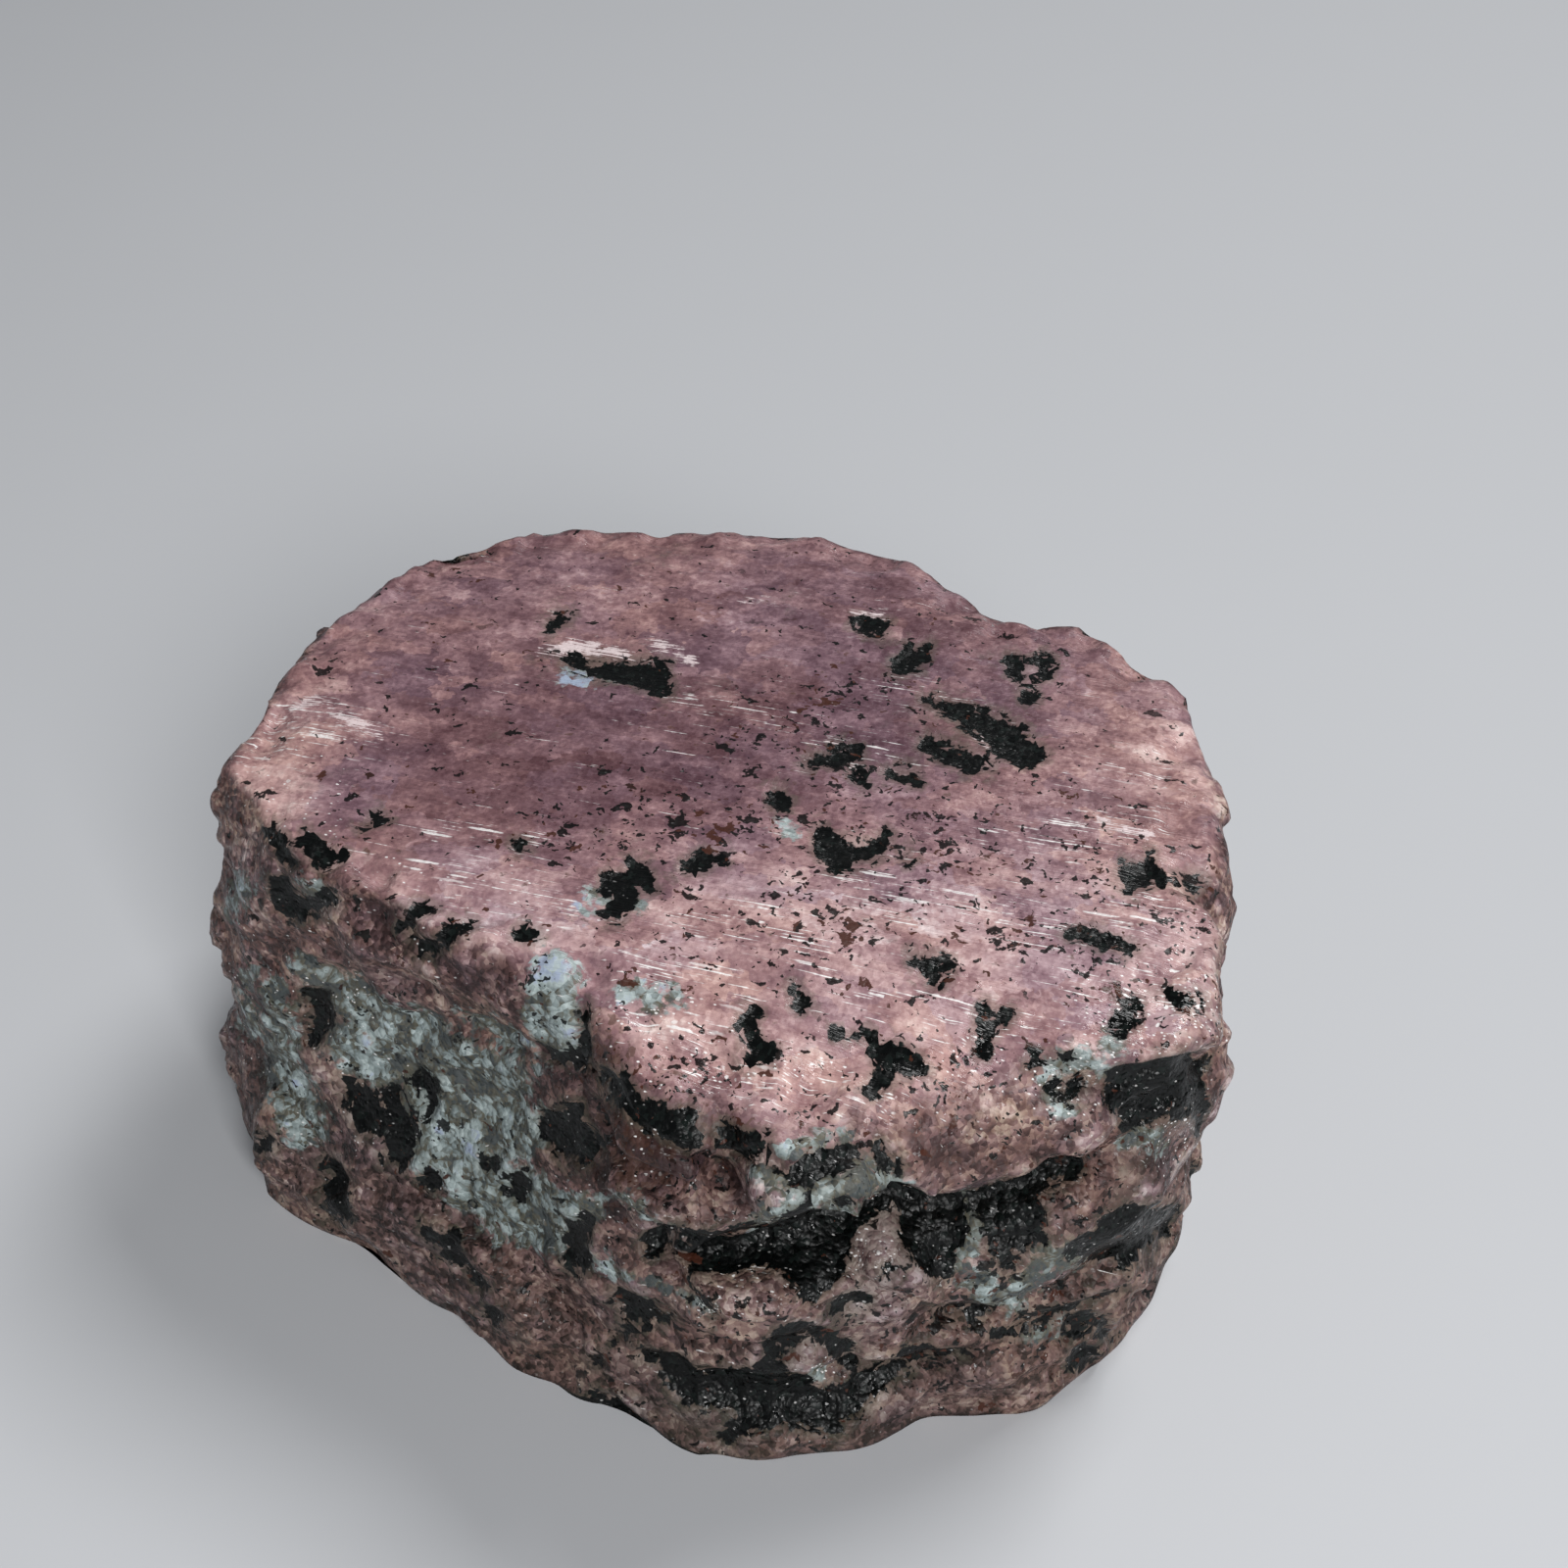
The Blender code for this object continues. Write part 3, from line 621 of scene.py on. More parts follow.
# Warmer cream (below 0) and cooler lilac (above 0) places of the ruby, in the same form
CASTS = {
    "right cream": (1190, 790, 40, 90, -0.30),
    "left corner": (282, 800, 50, 40, -0.20),
    "nose lobe": (700, 1080, 60, 60, -0.20),
    "back notch": (1000, 650, 60, 30, -0.30),
    "back grey": (930, 690, 110, 50, 0.30),
    "wide grey": (880, 900, 90, 30, 0.20),
    "lilac wedge": (900, 1270, 40, 50, 0.30),
    "lower slab": (1080, 1380, 90, 40, -0.30),
    "back rim": (620, 545, 260, 22, -0.22),
}

# Each value's plain level, and how much more it is on the walls
LEVELS = {
    "tone": (0.455, 0.04),
    "tan": (0, 0),
    "cast": (0.5, 0),
    "rusty": (0, 0),
    "rock_tone": (0.56, 0),
    "sugar": (0.004, 0.003),
    "speck level": (0.06, 0.06),
    "glint level": (0.02, -0.02),
}

# The noises added to each value: size in metres and amount
NOISES = {
    "tone": ((0.0075, 0.07), (0.0032, 0.06)),
    "tan": ((0.0052, 0.5),),
    "cast": ((0.0088, 0.34),),
    "rock_tone": ((0.0030, 0.24), (0.0014, 0.16)),
    "specks": ((0.0034, 0.24),),
    "glints": ((0.0030, 0.16),),
    "lips": ((0.0017, 0.35),),
    "rim wear": ((0.0034, 0.8), (0.0015, 0.5)),
    "facing": ((0.0032, 0.09),),
}

# How thickly specks and marks stand in their bands, over how many mm past the bands they thin out, and the
# share of the marks that the walls lose
CROWDS = {"specks": (0.26, 1.6), "glints": (0.40, 0.9)}
WALL_DULLING = 0.5

# How strongly each size of block is creased and how much its tones differ, and how strong the creases read
# from the photograph are. Then what small blocks add to the tan, and what the painted shade in the creases
# takes from the tones.
BLOCK_TONES = {"blocks": (1.0, 0.30), "small blocks": (0.7, 0.36)}
CREASE_LINE_SHARE = 1.3
BLOCK_TAN = 0.16
CREASE_SHADE_TONE = 0.22
CREASE_SHADE_ROCK_TONE = 0.24

# The dark film and painted shade of the walls: the painted shade's shares in hollows and in creases, the
# darkening low down, how fast the shade comes as the surface and the lips draw back, and the share of the
# greying that reaches the top of the walls
HOLLOW_SHADE = 0.40
CREASE_SHADE = 0.80
LOW_DARKENING = 0.22
HOLLOW_RELIEF = 0.35
HOLLOW_LIPS = 1.4
GREYED_SHARE = 0.40

# The turn about Z of the grinding marks, and the textures' sizes in mm along, across and up from them
GRIND_TURN = math.radians(-15)
VEIL_SIZES = (2.7, 1.8, 2.0)
SCRATCH_SIZES = (4.6, 0.15, 0.5)
SUGAR_SIZES = (0.32, 0.17, 0.19)
DOMAIN_SIZES = (3.8, 2.2, 2.6)
MARK_SIZES = (2.8, 0.30, 0.6)

# Specks: sizes as above, radius in cells, and the share of the crowding that reaches them
SPECK_SIZES = {
    "large": ((1.7, 1.1, 1.1), 0.40, 0.9),
    "middle": ((0.90, 0.62, 0.62), 0.40, 1.0),
    "small": ((0.52, 0.40, 0.40), 0.46, 0.5),
}

# Noise textures: scale, detail and roughness
RAGGED = (1.1, 3.0, 0.62)
FINE = (2.3, 1.4, 0.55)
GRIT = (4.5, 2.0, 0.6)
VEIL = (1.0, 3.0, 0.62)
SCRATCH = (1.0, 1.0, 0.8)

# Crumbs and grains to a millimetre, and the drift that bends rows of cells: scale, detail and reach in mm
CRUMBS_PER_MM = 1.05
GRAINS_PER_MM = 2.8
DRIFT = (0.9, 2.0)
DRIFT_REACH = (2.4, 2.4, 2.4)

# The middle of a texture's three numbers, which is also a mid grey, and white
MIDDLE = (0.5, 0.5, 0.5)
WHITE = (1.0, 1.0, 1.0)


def colour_setting(name, description, default):
    """A colour that a user may change."""
    return bpy.props.FloatVectorProperty(name=name, description=description, default=default, subtype="COLOR")


class StoneSettings(bpy.types.PropertyGroup):
    """Grid and colours of the stone."""

    round_faces: bpy.props.IntProperty(
        name="Faces along a side", description="Faces along each quarter of the outline", default=144
    )
    wall_faces: bpy.props.IntProperty(
        name="Faces up the wall", description="Faces from the base to the ground face", default=100
    )
    plum: colour_setting("Plum", "Deepest ruby", (0.098, 0.044, 0.053))
    mauve: colour_setting("Mauve", "Deep mauve ruby", (0.186, 0.098, 0.110))
    ruby: colour_setting("Ruby", "Main mauve-pink", (0.320, 0.182, 0.190))
    # Blush and frost, where the tones rise on the rims, ridges and lobes, are partly painted highlight
    blush: colour_setting("Blush", "Light pink where the stone is worn", (0.53, 0.345, 0.335))
    frost: colour_setting("Frost", "Palest bruised pink", (0.82, 0.66, 0.62))
    dusk: colour_setting("Dusk", "Deepest wall ruby", (0.062, 0.046, 0.043))
    rose: colour_setting("Rose", "Greyed pink of the walls", (0.300, 0.196, 0.200))
    shell: colour_setting("Shell", "Palest pink of the walls", (0.62, 0.51, 0.48))
    # The film colour dulls the walls, and also darkens them as painted shade in hollows, creases and below
    # the lips
    film_and_shade: colour_setting("Film", "Dark film that dulls the walls", (0.53, 0.49, 0.43))
    hornblende: colour_setting("Hornblende", "Greenish black", (0.0014, 0.0019, 0.0018))
    green_black: colour_setting("Green black", "Lighter grains of hornblende", (0.006, 0.009, 0.008))
    spark: colour_setting("Spark", "Pinpoint glints", (0.92, 0.90, 0.88))
    # The smear colour is partly bruised whiteness and partly painted highlight
    bruise_highlight: colour_setting("Bruise", "Pinkish white smears", (0.78, 0.66, 0.66))
    rust: colour_setting("Rust", "Rust-brown specks", (0.060, 0.020, 0.012))
    rusty: colour_setting("Rusty grains", "Rust-brown grains in the ruby", (0.085, 0.040, 0.028))
    cream: colour_setting("Cream cast", "Tint of the warmest ruby", (1.0, 0.96, 0.90))
    lilac: colour_setting("Lilac cast", "Tint of the coolest ruby", (0.86, 0.90, 1.0))
    olive: colour_setting("Olive", "Altered rim round the hornblende", (0.105, 0.100, 0.072))
    slate: colour_setting("Slate", "Darkest pale rock", (0.070, 0.084, 0.084))
    pale_rock: colour_setting("Pale rock", "Grey-green feldspar", (0.235, 0.288, 0.286))
    milk: colour_setting("Milk", "Lightest pale rock", (0.455, 0.535, 0.525))
    sky_fleck: colour_setting("Blue fleck", "Light blue flecks in the pale rock", (0.36, 0.43, 0.55))


class StageSettings(bpy.types.PropertyGroup):
    """Floor and lights."""

    floor_size: bpy.props.FloatProperty(
        name="Floor", description="Side of the floor", default=3.0, unit="LENGTH"
    )
    floor_colour: colour_setting("Floor colour", "Pale grey floor", (0.55, 0.56, 0.58))
    key_power: bpy.props.FloatProperty(
        name="Window", description="Power of the large soft light", default=3.15, unit="POWER"
    )
    fill_power: bpy.props.FloatProperty(
        name="Fill", description="Power of the front fill", default=1.10, unit="POWER"
    )
    round_colour: colour_setting("All round colour", "Cool light from all round", (0.80, 0.84, 0.90))
    round_strength: bpy.props.FloatProperty(
        name="All round", description="Strength of the light from all round", default=0.17
    )


def noise_tables():
    """The shuffled order and the unit slopes that the noise reads."""
    generator = np.random.default_rng(SEED)
    slopes = generator.normal(size=(LATTICE, 3))
    return generator.permutation(LATTICE), slopes / np.linalg.norm(slopes, axis=1, keepdims=True)


ORDER, SLOPES = noise_tables()


def cell_numbers(cell):
    """Each lattice cell's own number, shuffled from 0 to LATTICE - 1."""
    x, y, z = (cell % LATTICE).T
    return ORDER[(ORDER[(ORDER[x] + y) % LATTICE] + z) % LATTICE]


def lumps(points, size):
    """Smooth noise from about -1 to 1, with lumps about `size` across.

    Each corner of a cubic lattice holds a random slope, and the value between corners eases from one
    slope's plane to the next.
    """
    scaled = points / size
    cell = np.floor(scaled).astype(int)
    part = scaled - cell
    ease = part**3 * (part * (part * 6 - 15) + 10)
    total = np.zeros(len(points))
    for corner in itertools.product((0, 1), repeat=3):
        slope = SLOPES[cell_numbers(cell + corner)]
        weight = np.prod(np.where(corner, ease, 1 - ease), axis=1)
        total += weight * np.sum(slope * (part - corner), axis=1)
    return NOISE_GAIN * total


def noise_sum(points, layers):
    """The sum of amount * lumps for each (size, amount)."""
    return sum(amount * lumps(points, size) for size, amount in layers)


def blocks(points, size):
    """Rough blocks about `size` across: how far inside its block each point is, its block's own number, and
    its height on its block's face.

    Each cell of a cubic lattice holds one middle, and a point belongs to the nearest middle. Half the
    difference between its distances to the two nearest middles says how far inside its block it is. The
    block's face is a plane through the middle that leans its own way.
    """
    scaled = points * BLOCK_FLATNESS / size
    cell = np.floor(scaled).astype(int)
    first = np.full(len(points), np.inf)
    second = np.full(len(points), np.inf)
    owner = np.zeros(len(points))
    lean = np.zeros(len(points))
    for step in itertools.product((-1, 0, 1), repeat=3):
        number = cell_numbers(cell + step)
        offset = scaled - cell - step - 0.5 - BLOCK_STRAY * SLOPES[number]
        away = np.linalg.norm(offset, axis=1)
        second = np.minimum(second, np.maximum(first, away))
        owner = np.where(away < first, number / (LATTICE - 1), owner)
        lean = np.where(away < first, np.sum(offset * SLOPES[ORDER[number]], axis=1), lean)
        first = np.minimum(first, away)
    return (second - first) / 2, owner, lean


def ease_step(value):
    """0 below 0, 1 above 1 and a smooth rise between."""
    clipped = np.clip(value, 0, 1)
    return clipped * clipped * (3 - 2 * clipped)


def turn_between(azimuth, centre):
    """The signed angle in degrees from centre to azimuth, the short way round."""
    return (azimuth - centre + 180) % 360 - 180


def outline(azimuth):
    """Distance from the axis at the top and at the base, and the top edge's radius, at each azimuth.

    Between two corners the wall is straight, so with corner distances p and q, the whole turn T between the
    corners and the turn t from the first, the distance is p q sin T / (p sin t + q sin (T - t)).
    """
    table = np.array(list(CORNERS.values()), dtype=float)
    turns = np.append(table[:, 0], table[0, 0] + 360)
    table = np.vstack([table, table[:1]])
    turned = (azimuth - turns[0]) % 360 + turns[0]
    first = np.searchsorted(turns, turned, side="right") - 1
    first = np.clip(first, 0, len(turns) - 2)
    whole = np.radians(turns[first + 1] - turns[first])
    passed = np.radians(turned - turns[first])
    distances = []
    for column in (1, 2):
        near = table[first, column]
        far = table[first + 1, column]
        spread = near * np.sin(passed) + far * np.sin(whole - passed)
        distances.append(near * far * np.sin(whole) / spread)
    share = passed / whole
    edge = (1 - share) * table[first, 3] + share * table[first + 1, 3]
    return distances[0], distances[1], edge


def wall_swell(azimuth, height):
    """How far the named lobes and hollows move the wall outwards.

    Each one adds swell * exp(-(a^2 + h^2)^2), where a and h are the distances from its middle round the wall
    and up it, measured in its half width and half height.
    """
    total = np.zeros(len(azimuth))
    for centre, half_width, middle, half_height, rise, swell in WALL_FORMS.values():
        across = turn_between(azimuth, centre) / half_width
        up = (height - middle - rise * across) / half_height
        total += swell * np.exp(-((across**2 + up**2) ** 2))
    return total


def ledge_swell(points, azimuth):
    """How far the parting ledges move the far walls outwards."""
    reach, length = LEDGE_WANDER
    wander = reach * lumps(points * LEDGE_FLATNESS, length)
    from_middle = np.abs(turn_between(azimuth, LEDGE_MIDDLE))
    strength = ease_step((LEDGE_NONE - from_middle) / (LEDGE_NONE - LEDGE_FULL))
    total = np.zeros(len(azimuth))
    for height, step in LEDGES.values():
        total += step * ease_step(0.5 + (height + wander - points[:, 2]) / LEDGE_SOFTNESS)
    return strength * total


def stone_points(azimuth, climb, spread, detail=1.0):
    """Points of the stone's surface, how much of the ground face there is at each, and how far each stands
    out from the plain form in millimetres. detail is the share of the lobes, hollows and roughness.

    climb goes from 0 at the base to 1 where the rounded top edge meets the ground face, and spread goes from
    1 at that edge to 0 at the middle of the ground face. On the way up, the wall is straight as far as the
    top edge, which is a quarter round of radius e: after a turn b it is e sin b higher and e (1 - cos b)
    further in.
    """
    top, base, edge = outline(azimuth)
    straight = HEIGHT - edge
    travelled = climb * (straight + edge * np.pi / 2)
    turn = np.clip((travelled - straight) / edge, 0, np.pi / 2)
    height = np.minimum(travelled, straight) + edge * np.sin(turn)
    share = height / HEIGHT
    distance = share * top + (1 - share) * base - edge * (1 - np.cos(turn))
    swell = detail * wall_swell(azimuth, height)
    distance = (distance + swell) * spread

    outwards = np.column_stack([np.cos(np.radians(azimuth)), np.sin(np.radians(azimuth))])
    points = np.column_stack([outwards * distance[:, None], height])
    shoulder = SHOULDER_DROP * ease_step((SHOULDER_START - points[:, 1]) / SHOULDER_SPAN)
    points[:, 2] -= shoulder * share**3

    rough = detail * noise_sum(points, LUMPS.values())
    rim = RIM_SHARE * ease_step((spread - 1 + RIM_WIDTH) / RIM_WIDTH)
    sideways_share = np.where(spread < 1, rim, 1 - (1 - RIM_SHARE) * np.sin(turn))
    sideways = sideways_share * rough + (spread == 1) * ledge_swell(points, azimuth)
    points[:, :2] += outwards * sideways[:, None] + AXIS
    points[:, 2] += GROUND_SHARE * np.sin(turn) * rough
    return points, np.sin(turn) ** 2, (swell + rough) / MM


def square_cap(count, ring, first_inside):
    """Point numbers of a square cap: its border takes the ring's numbers and its inside has its own."""
    grid = np.empty((count + 1, count + 1), dtype=int)
    grid[0, :-1] = ring[:count]
    grid[:-1, -1] = ring[count:2 * count]
    grid[-1, :0:-1] = ring[2 * count:3 * count]
    grid[:0:-1, 0] = ring[3 * count:]
    inside = (count - 1) ** 2
    grid[1:-1, 1:-1] = first_inside + np.arange(inside).reshape(count - 1, count - 1)
    return grid


def grid_faces(grid):
    """The four-sided faces between neighbouring rows and columns of a grid of point numbers."""
    return np.stack([grid[:-1, :-1], grid[:-1, 1:], grid[1:, 1:], grid[1:, :-1]], axis=-1).reshape(-1, 4)


def block_grid(count, rows):
    """Square place, height share and faces of a block sliced into a grid.

    The rim of the square runs from -1 to 1 along each side in `count` steps, the wall repeats it at rows + 1
    heights, and each cap fills the square.
    """
    steps = 2 * np.arange(count) / count - 1
    side = np.ones(count)
    sides = [(steps, -side), (side, steps), (-steps, side), (-side, -steps)]
    rim = np.concatenate([np.column_stack(pair) for pair in sides])
    inner = 2 * np.arange(1, count) / count - 1
    inside = np.stack(np.meshgrid(inner, inner), axis=-1).reshape(-1, 2)
    square = np.concatenate([np.tile(rim, (rows + 1, 1)), inside, inside])
    wall_climb = np.repeat(np.arange(rows + 1) / rows, len(rim))
    climb = np.concatenate([wall_climb, np.ones(len(inside)), np.zeros(len(inside))])
    rings = np.arange((rows + 1) * len(rim)).reshape(rows + 1, len(rim))
    wall = grid_faces(np.column_stack([rings, rings[:, :1]]))
    top = grid_faces(square_cap(count, rings[-1], rings.size))
    base = grid_faces(square_cap(count, rings[0], rings.size + len(inside)))[:, ::-1]
    return square, climb, np.concatenate([wall, top, base])


def on_the_square(square):
    """Azimuth and spread of places on the square: the larger share of X or Y says how far out a place is,
    and the azimuths are spaced evenly round the axis."""
    spread = np.abs(square).max(axis=1)
    on_rim = square / np.maximum(spread, TINY)[:, None]
    even = np.tan(on_rim * np.pi / 4)
    return np.degrees(np.arctan2(even[:, 1], even[:, 0])), spread


def point_normals(points, faces):
    """Unit normals of the points: the sum of each neighbouring face's diagonals' cross product."""
    across = points[faces[:, 2]] - points[faces[:, 0]]
    along = points[faces[:, 3]] - points[faces[:, 1]]
    face_normals = np.cross(across, along)
    normals = np.zeros_like(points)
    for corner in range(4):
        for part in range(3):
            normals[:, part] += np.bincount(faces[:, corner], face_normals[:, part], len(points))
    return normals / np.linalg.norm(normals, axis=1, keepdims=True)


def plain_facing(azimuth, climb, spread, faces, rings):
    """Cosine of the angle between the plain form's normal and the line to the camera, at each point.

    It is averaged round the wall and wanders a little, so that no row of patches ends in a straight line. The
    wall's points come first, in so many rings of so many points.
    """
    plain = stone_points(azimuth, climb, spread, detail=0.0)[0]
    towards = np.array(CAMERA_PLACE) - plain
    facing = np.sum(point_normals(plain, faces) * towards, axis=1) / np.linalg.norm(towards, axis=1)
    wall = facing[:rings[0] * rings[1]].reshape(rings)
    steps = range(-FACING_BLUR, FACING_BLUR + 1)
    wall[:] = np.mean([np.roll(wall, step, axis=1) for step in steps], axis=0)
    facing += noise_sum(plain, NOISES["facing"]) + FACING_LIFT
    return facing


def photo_places(points):
    """Column and row of each point in the photograph."""
    focal = LENS / SENSOR * PHOTO_SIZE
    from_camera = points - np.array(CAMERA_PLACE)
    ahead = np.array([0, math.sin(CAMERA_TURN), -math.cos(CAMERA_TURN)])
    up = np.array([0, math.cos(CAMERA_TURN), math.sin(CAMERA_TURN)])
    depth = from_camera @ ahead
    column = PHOTO_SIZE / 2 + focal * from_camera[:, 0] / depth
    row = PHOTO_SIZE / 2 - focal * (from_camera @ up) / depth
    return np.column_stack([column, row])


def capsule_distance(points, start, end, start_radius, end_radius):
    """Distance to the edge of a capsule whose radius blends from one end to the other, below 0 inside it."""
    length = max(np.dot(end - start, end - start), TINY)
    share = np.clip((points - start) @ (end - start) / length, 0, 1)
    away = np.linalg.norm(points - start - share[:, None] * (end - start), axis=1)
    return away - (1 - share) * start_radius - share * end_radius


def distance_to_chains(points, chains):
    """Distance from each point to the nearest chain's edge, below 0 inside a chain.

    A chain is a row of capsules, given as the places and radii of their ends.
    """
    nearest = np.full(len(points), FAR)
    for places in chains:
        ends = places if len(places) > 1 else places * 2
        for (start, start_radius), (end, end_radius) in zip(ends, ends[1:]):
            nearest = np.minimum(nearest, capsule_distance(points, start, end, start_radius, end_radius))
    return nearest


def seen_distance(patches, seen, facing):
    """Distance in mm to the nearest named patch, as the photograph shows it.

    Where the surface turns away from the camera, the patches draw back.
    """
    chains = []
    for chain in patches.values():
        chains.append([(np.array([column, row]) / PIXELS_PER_MM, radius) for column, row, radius in chain])
    away = distance_to_chains(seen / PIXELS_PER_MM, chains)
    return away + DRAW_BACK * ease_step((GRAZING - facing) / GRAZING)


def hidden_distance(points, normals, facing, patches):
    """Distance in mm to the nearest of some random patches, for the sides that the photograph doesn't show.

    Where the surface turns towards the camera, the patches draw back.
    """
    count, radii, seed = patches
    generator = np.random.default_rng(seed)
    hidden = np.flatnonzero(facing < 0)
    chains = []
    for start in generator.choice(hidden, count):
        radius = generator.uniform(*radii)
        heading = np.cross(normals[start], generator.normal(size=3))
        heading += HIDDEN_LEVELLING * np.cross(normals[start], (0, 0, 1)) * np.sign(generator.normal())
        step = HIDDEN_STEP * radius * heading / np.linalg.norm(heading)
        chain = []
        for number in range(HIDDEN_PLACES):
            chain.append((points[start] / MM + number * step, radius * (1 - HIDDEN_TAPER * number)))
        chains.append(chain)
    return distance_to_chains(points / MM, chains) + DRAW_BACK * ease_step(facing / GRAZING)


def lip_heights(points, seen, facing):
    """How far in mm the lips of the layers move the surface outwards.

    Above a lip the stone stands out and below it the stone draws back: with s the distance above the lip's
    nearest stretch, the move is amount * clip(s / LIP_WIDTH, -1, 1) * exp(-(s / LIP_REACH)^2).
    """
    places = seen / PIXELS_PER_MM + noise_sum(points, NOISES["lips"])[:, None]
    total = np.zeros(len(points))
    for amount, lip in LIPS.values():
        nearest = np.full(len(points), FAR)
        above = np.zeros(len(points))
        ends = np.array(lip) / PIXELS_PER_MM
        for start, end in zip(ends, ends[1:]):
            along = end - start
            share = np.clip((places - start) @ along / (along @ along), 0, 1)
            offset = places - start - share[:, None] * along
            away = np.linalg.norm(offset, axis=1)
            side = np.sign(along[1] * offset[:, 0] - along[0] * offset[:, 1])
            above = np.where(away < nearest, side * away, above)
            nearest = np.minimum(nearest, away)
        total += amount * np.clip(above / LIP_WIDTH, -1, 1) * np.exp(-((nearest / LIP_REACH) ** 2))
    return total * ease_step(facing / GRAZING)


def spots(seen, facing, table):
    """Sum of round spots, each amount * exp(-(a^2 + d^2) / 2), where a and d are the distances from its
    middle in half widths and half heights. It fades out where the surface turns away from the camera."""
    total = np.zeros(len(seen))
    for column, row, half_width, half_height, amount in table.values():
        across = (seen[:, 0] - column) / half_width
        down = (seen[:, 1] - row) / half_height
        total += amount * np.exp(-(across**2 + down**2) / 2)
    return total * ease_step(facing / GRAZING)


def crowding(name, away, points):
    """How thickly specks or marks stand at a distance: (density + noise) * exp(-away / reach), away in mm."""
    density, reach = CROWDS[name]
    return (density + noise_sum(points, NOISES[name])) * np.exp(-np.maximum(away, 0) / reach)


def wear_rim(points, ground, spread):
    """Lower the rim of the ground face unevenly, by RIM_WEAR at most."""
    near = ground * ease_step((spread - 1 + RIM_WEAR_WIDTH) / RIM_WEAR_WIDTH)
    points[:, 2] -= RIM_WEAR * near * np.clip(RIM_WEAR_SHARE + noise_sum(points, NOISES["rim wear"]), 0, 1)


def dress_points(points, normals, facing, ground, forms):
    """Everything the material reads, as one number for each point, distances in millimetres."""
    seen = photo_places(points)
    wall = 1 - ground
    low = 1 - points[:, 2] / HEIGHT

    def away(table):
        return seen_distance(table, seen, facing)

    def hidden(patches):
        return hidden_distance(points, normals, facing, patches)

    def level(name, table=None):
        on_ground, more_on_wall = LEVELS[name]
        added = spots(seen, facing, table) if table else 0
        return on_ground + more_on_wall * wall + noise_sum(points, NOISES.get(name, ())) + added

    tone = level("tone", TONES)
    # Crease share: painted shade in the creases between blocks and along the crease lines, taken from the
    # tones
    crease = CREASE_LINE_SHARE * ease_step(0.5 - forms["crease_line"])
    for name, (share, amount) in BLOCK_TONES.items():
        inside, owner = forms[name][:2]
        crease = np.maximum(crease, share * ease_step(1 - inside * BLOCKS[name][0] / CREASE_WIDTH))
        tone += wall * amount * (owner - 0.5)
    # Painted shade in hollows and below the lips, and darker towards the base
    hollow = ease_step(0.5 - HOLLOW_RELIEF * forms["relief"]) + ease_step(-HOLLOW_LIPS * forms["lips"])
    film_and_shade = HOLLOW_SHADE * hollow + CREASE_SHADE * crease + LOW_DARKENING * low
    return {
        "ground": ground,
        "tone": tone - CREASE_SHADE_TONE * wall * crease,
        "tan": level("tan") + BLOCK_TAN * wall * forms["small blocks"][1],
        "cast": level("cast", CASTS),
        "rusty": level("rusty", RUSTY),
        "film_and_shade": wall * np.clip(film_and_shade, 0, 1),
        "greyed": wall * np.clip(GREYED_SHARE + (1 - GREYED_SHARE) * low, 0, 1),
        "hornblende": np.minimum(away(HORNBLENDE), hidden(HIDDEN_HORNBLENDE)),
        "pale_rock": np.minimum(away(PALE_ROCK), hidden(HIDDEN_ROCK)),
        "rock_tone": level("rock_tone", ROCK_TONES) - CREASE_SHADE_ROCK_TONE * wall * crease,
        "bruise_highlights": away(BRUISE_HIGHLIGHTS),
        "specks": level("speck level") + crowding("specks", away(SPECKS), points),
        "glints": level("glint level") + (1 - WALL_DULLING * wall) * crowding("glints", away(GLINTS), points),
        "sugar": level("sugar", SUGAR),
    }


def roughen(points, normals, ground, forms, hornblende):
    """Move the points along their normals by the finer roughness that only this surface carries.

    Blocks stand out by their own step and lean, with creases between them and grains all over. Hornblende and
    the creases read from the photograph are sunk, and lips stand out. It all fades out at the foot.
    """
    inside = ease_step(0.5 - hornblende)
    crags = GRAIN_HEIGHT * lumps(points, GRAIN_SIZE)
    for name, (size, step, slant, crease) in BLOCKS.items():
        depth, owner, lean = forms[name]
        edge = ease_step(depth * size / CREASE_WIDTH)
        crags += (step * (owner - 0.5) + slant * lean) * edge - crease * (1 - edge)
    crags *= (1 - GROUND_SMOOTH * ground) * (1 - forms["smooth"]) * (1 - HORNBLENDE_SMOOTH * inside)
    sunk = inside * (SUNK_ON_GROUND * ground + SUNK_ON_WALL * (1 - ground))
    line = ease_step(0.5 - forms["crease_line"] / CREASE_LINE_WIDTH)
    sunk += CREASE_LINE_DEPTH * (1 - CREASE_LINE_FADE * ground) * line
    lips = MM * (1 - LIP_FADE * ground) * forms["lips"]
    points += normals * ((crags + lips - sunk) * ease_step(points[:, 2] / FOOT_HEIGHT))[:, None]


def rest_on_floor(points, climb, spread):
    """Keep every point above the floor, the base's rim on it, and shallow pits in the base."""
    base = (climb == 0) & (spread < 1)
    points[base, 2] = BASE_PIT_DEPTH * np.clip(lumps(points[base], BASE_PIT_SIZE) - BASE_PIT_START, 0, 1)
    points[:, 2] = np.maximum(points[:, 2], 0)
    points[(climb == 0) & (spread == 1), 2] = 0


def make_mesh(name, points, faces):
    """A smooth mesh object from points and four-sided faces."""
    mesh = bpy.data.meshes.new(name)
    mesh.from_pydata(points.tolist(), [], faces.tolist())
    mesh.shade_smooth()
    made = bpy.data.objects.new(name, mesh)
    bpy.context.scene.collection.objects.link(made)
    return made


def add_attribute(mesh, name, values):
    """Store one number for each point, for the material to read."""
    attribute = mesh.attributes.new(name, "FLOAT", "POINT")
    attribute.data.foreach_set("value", values.astype(np.float32))


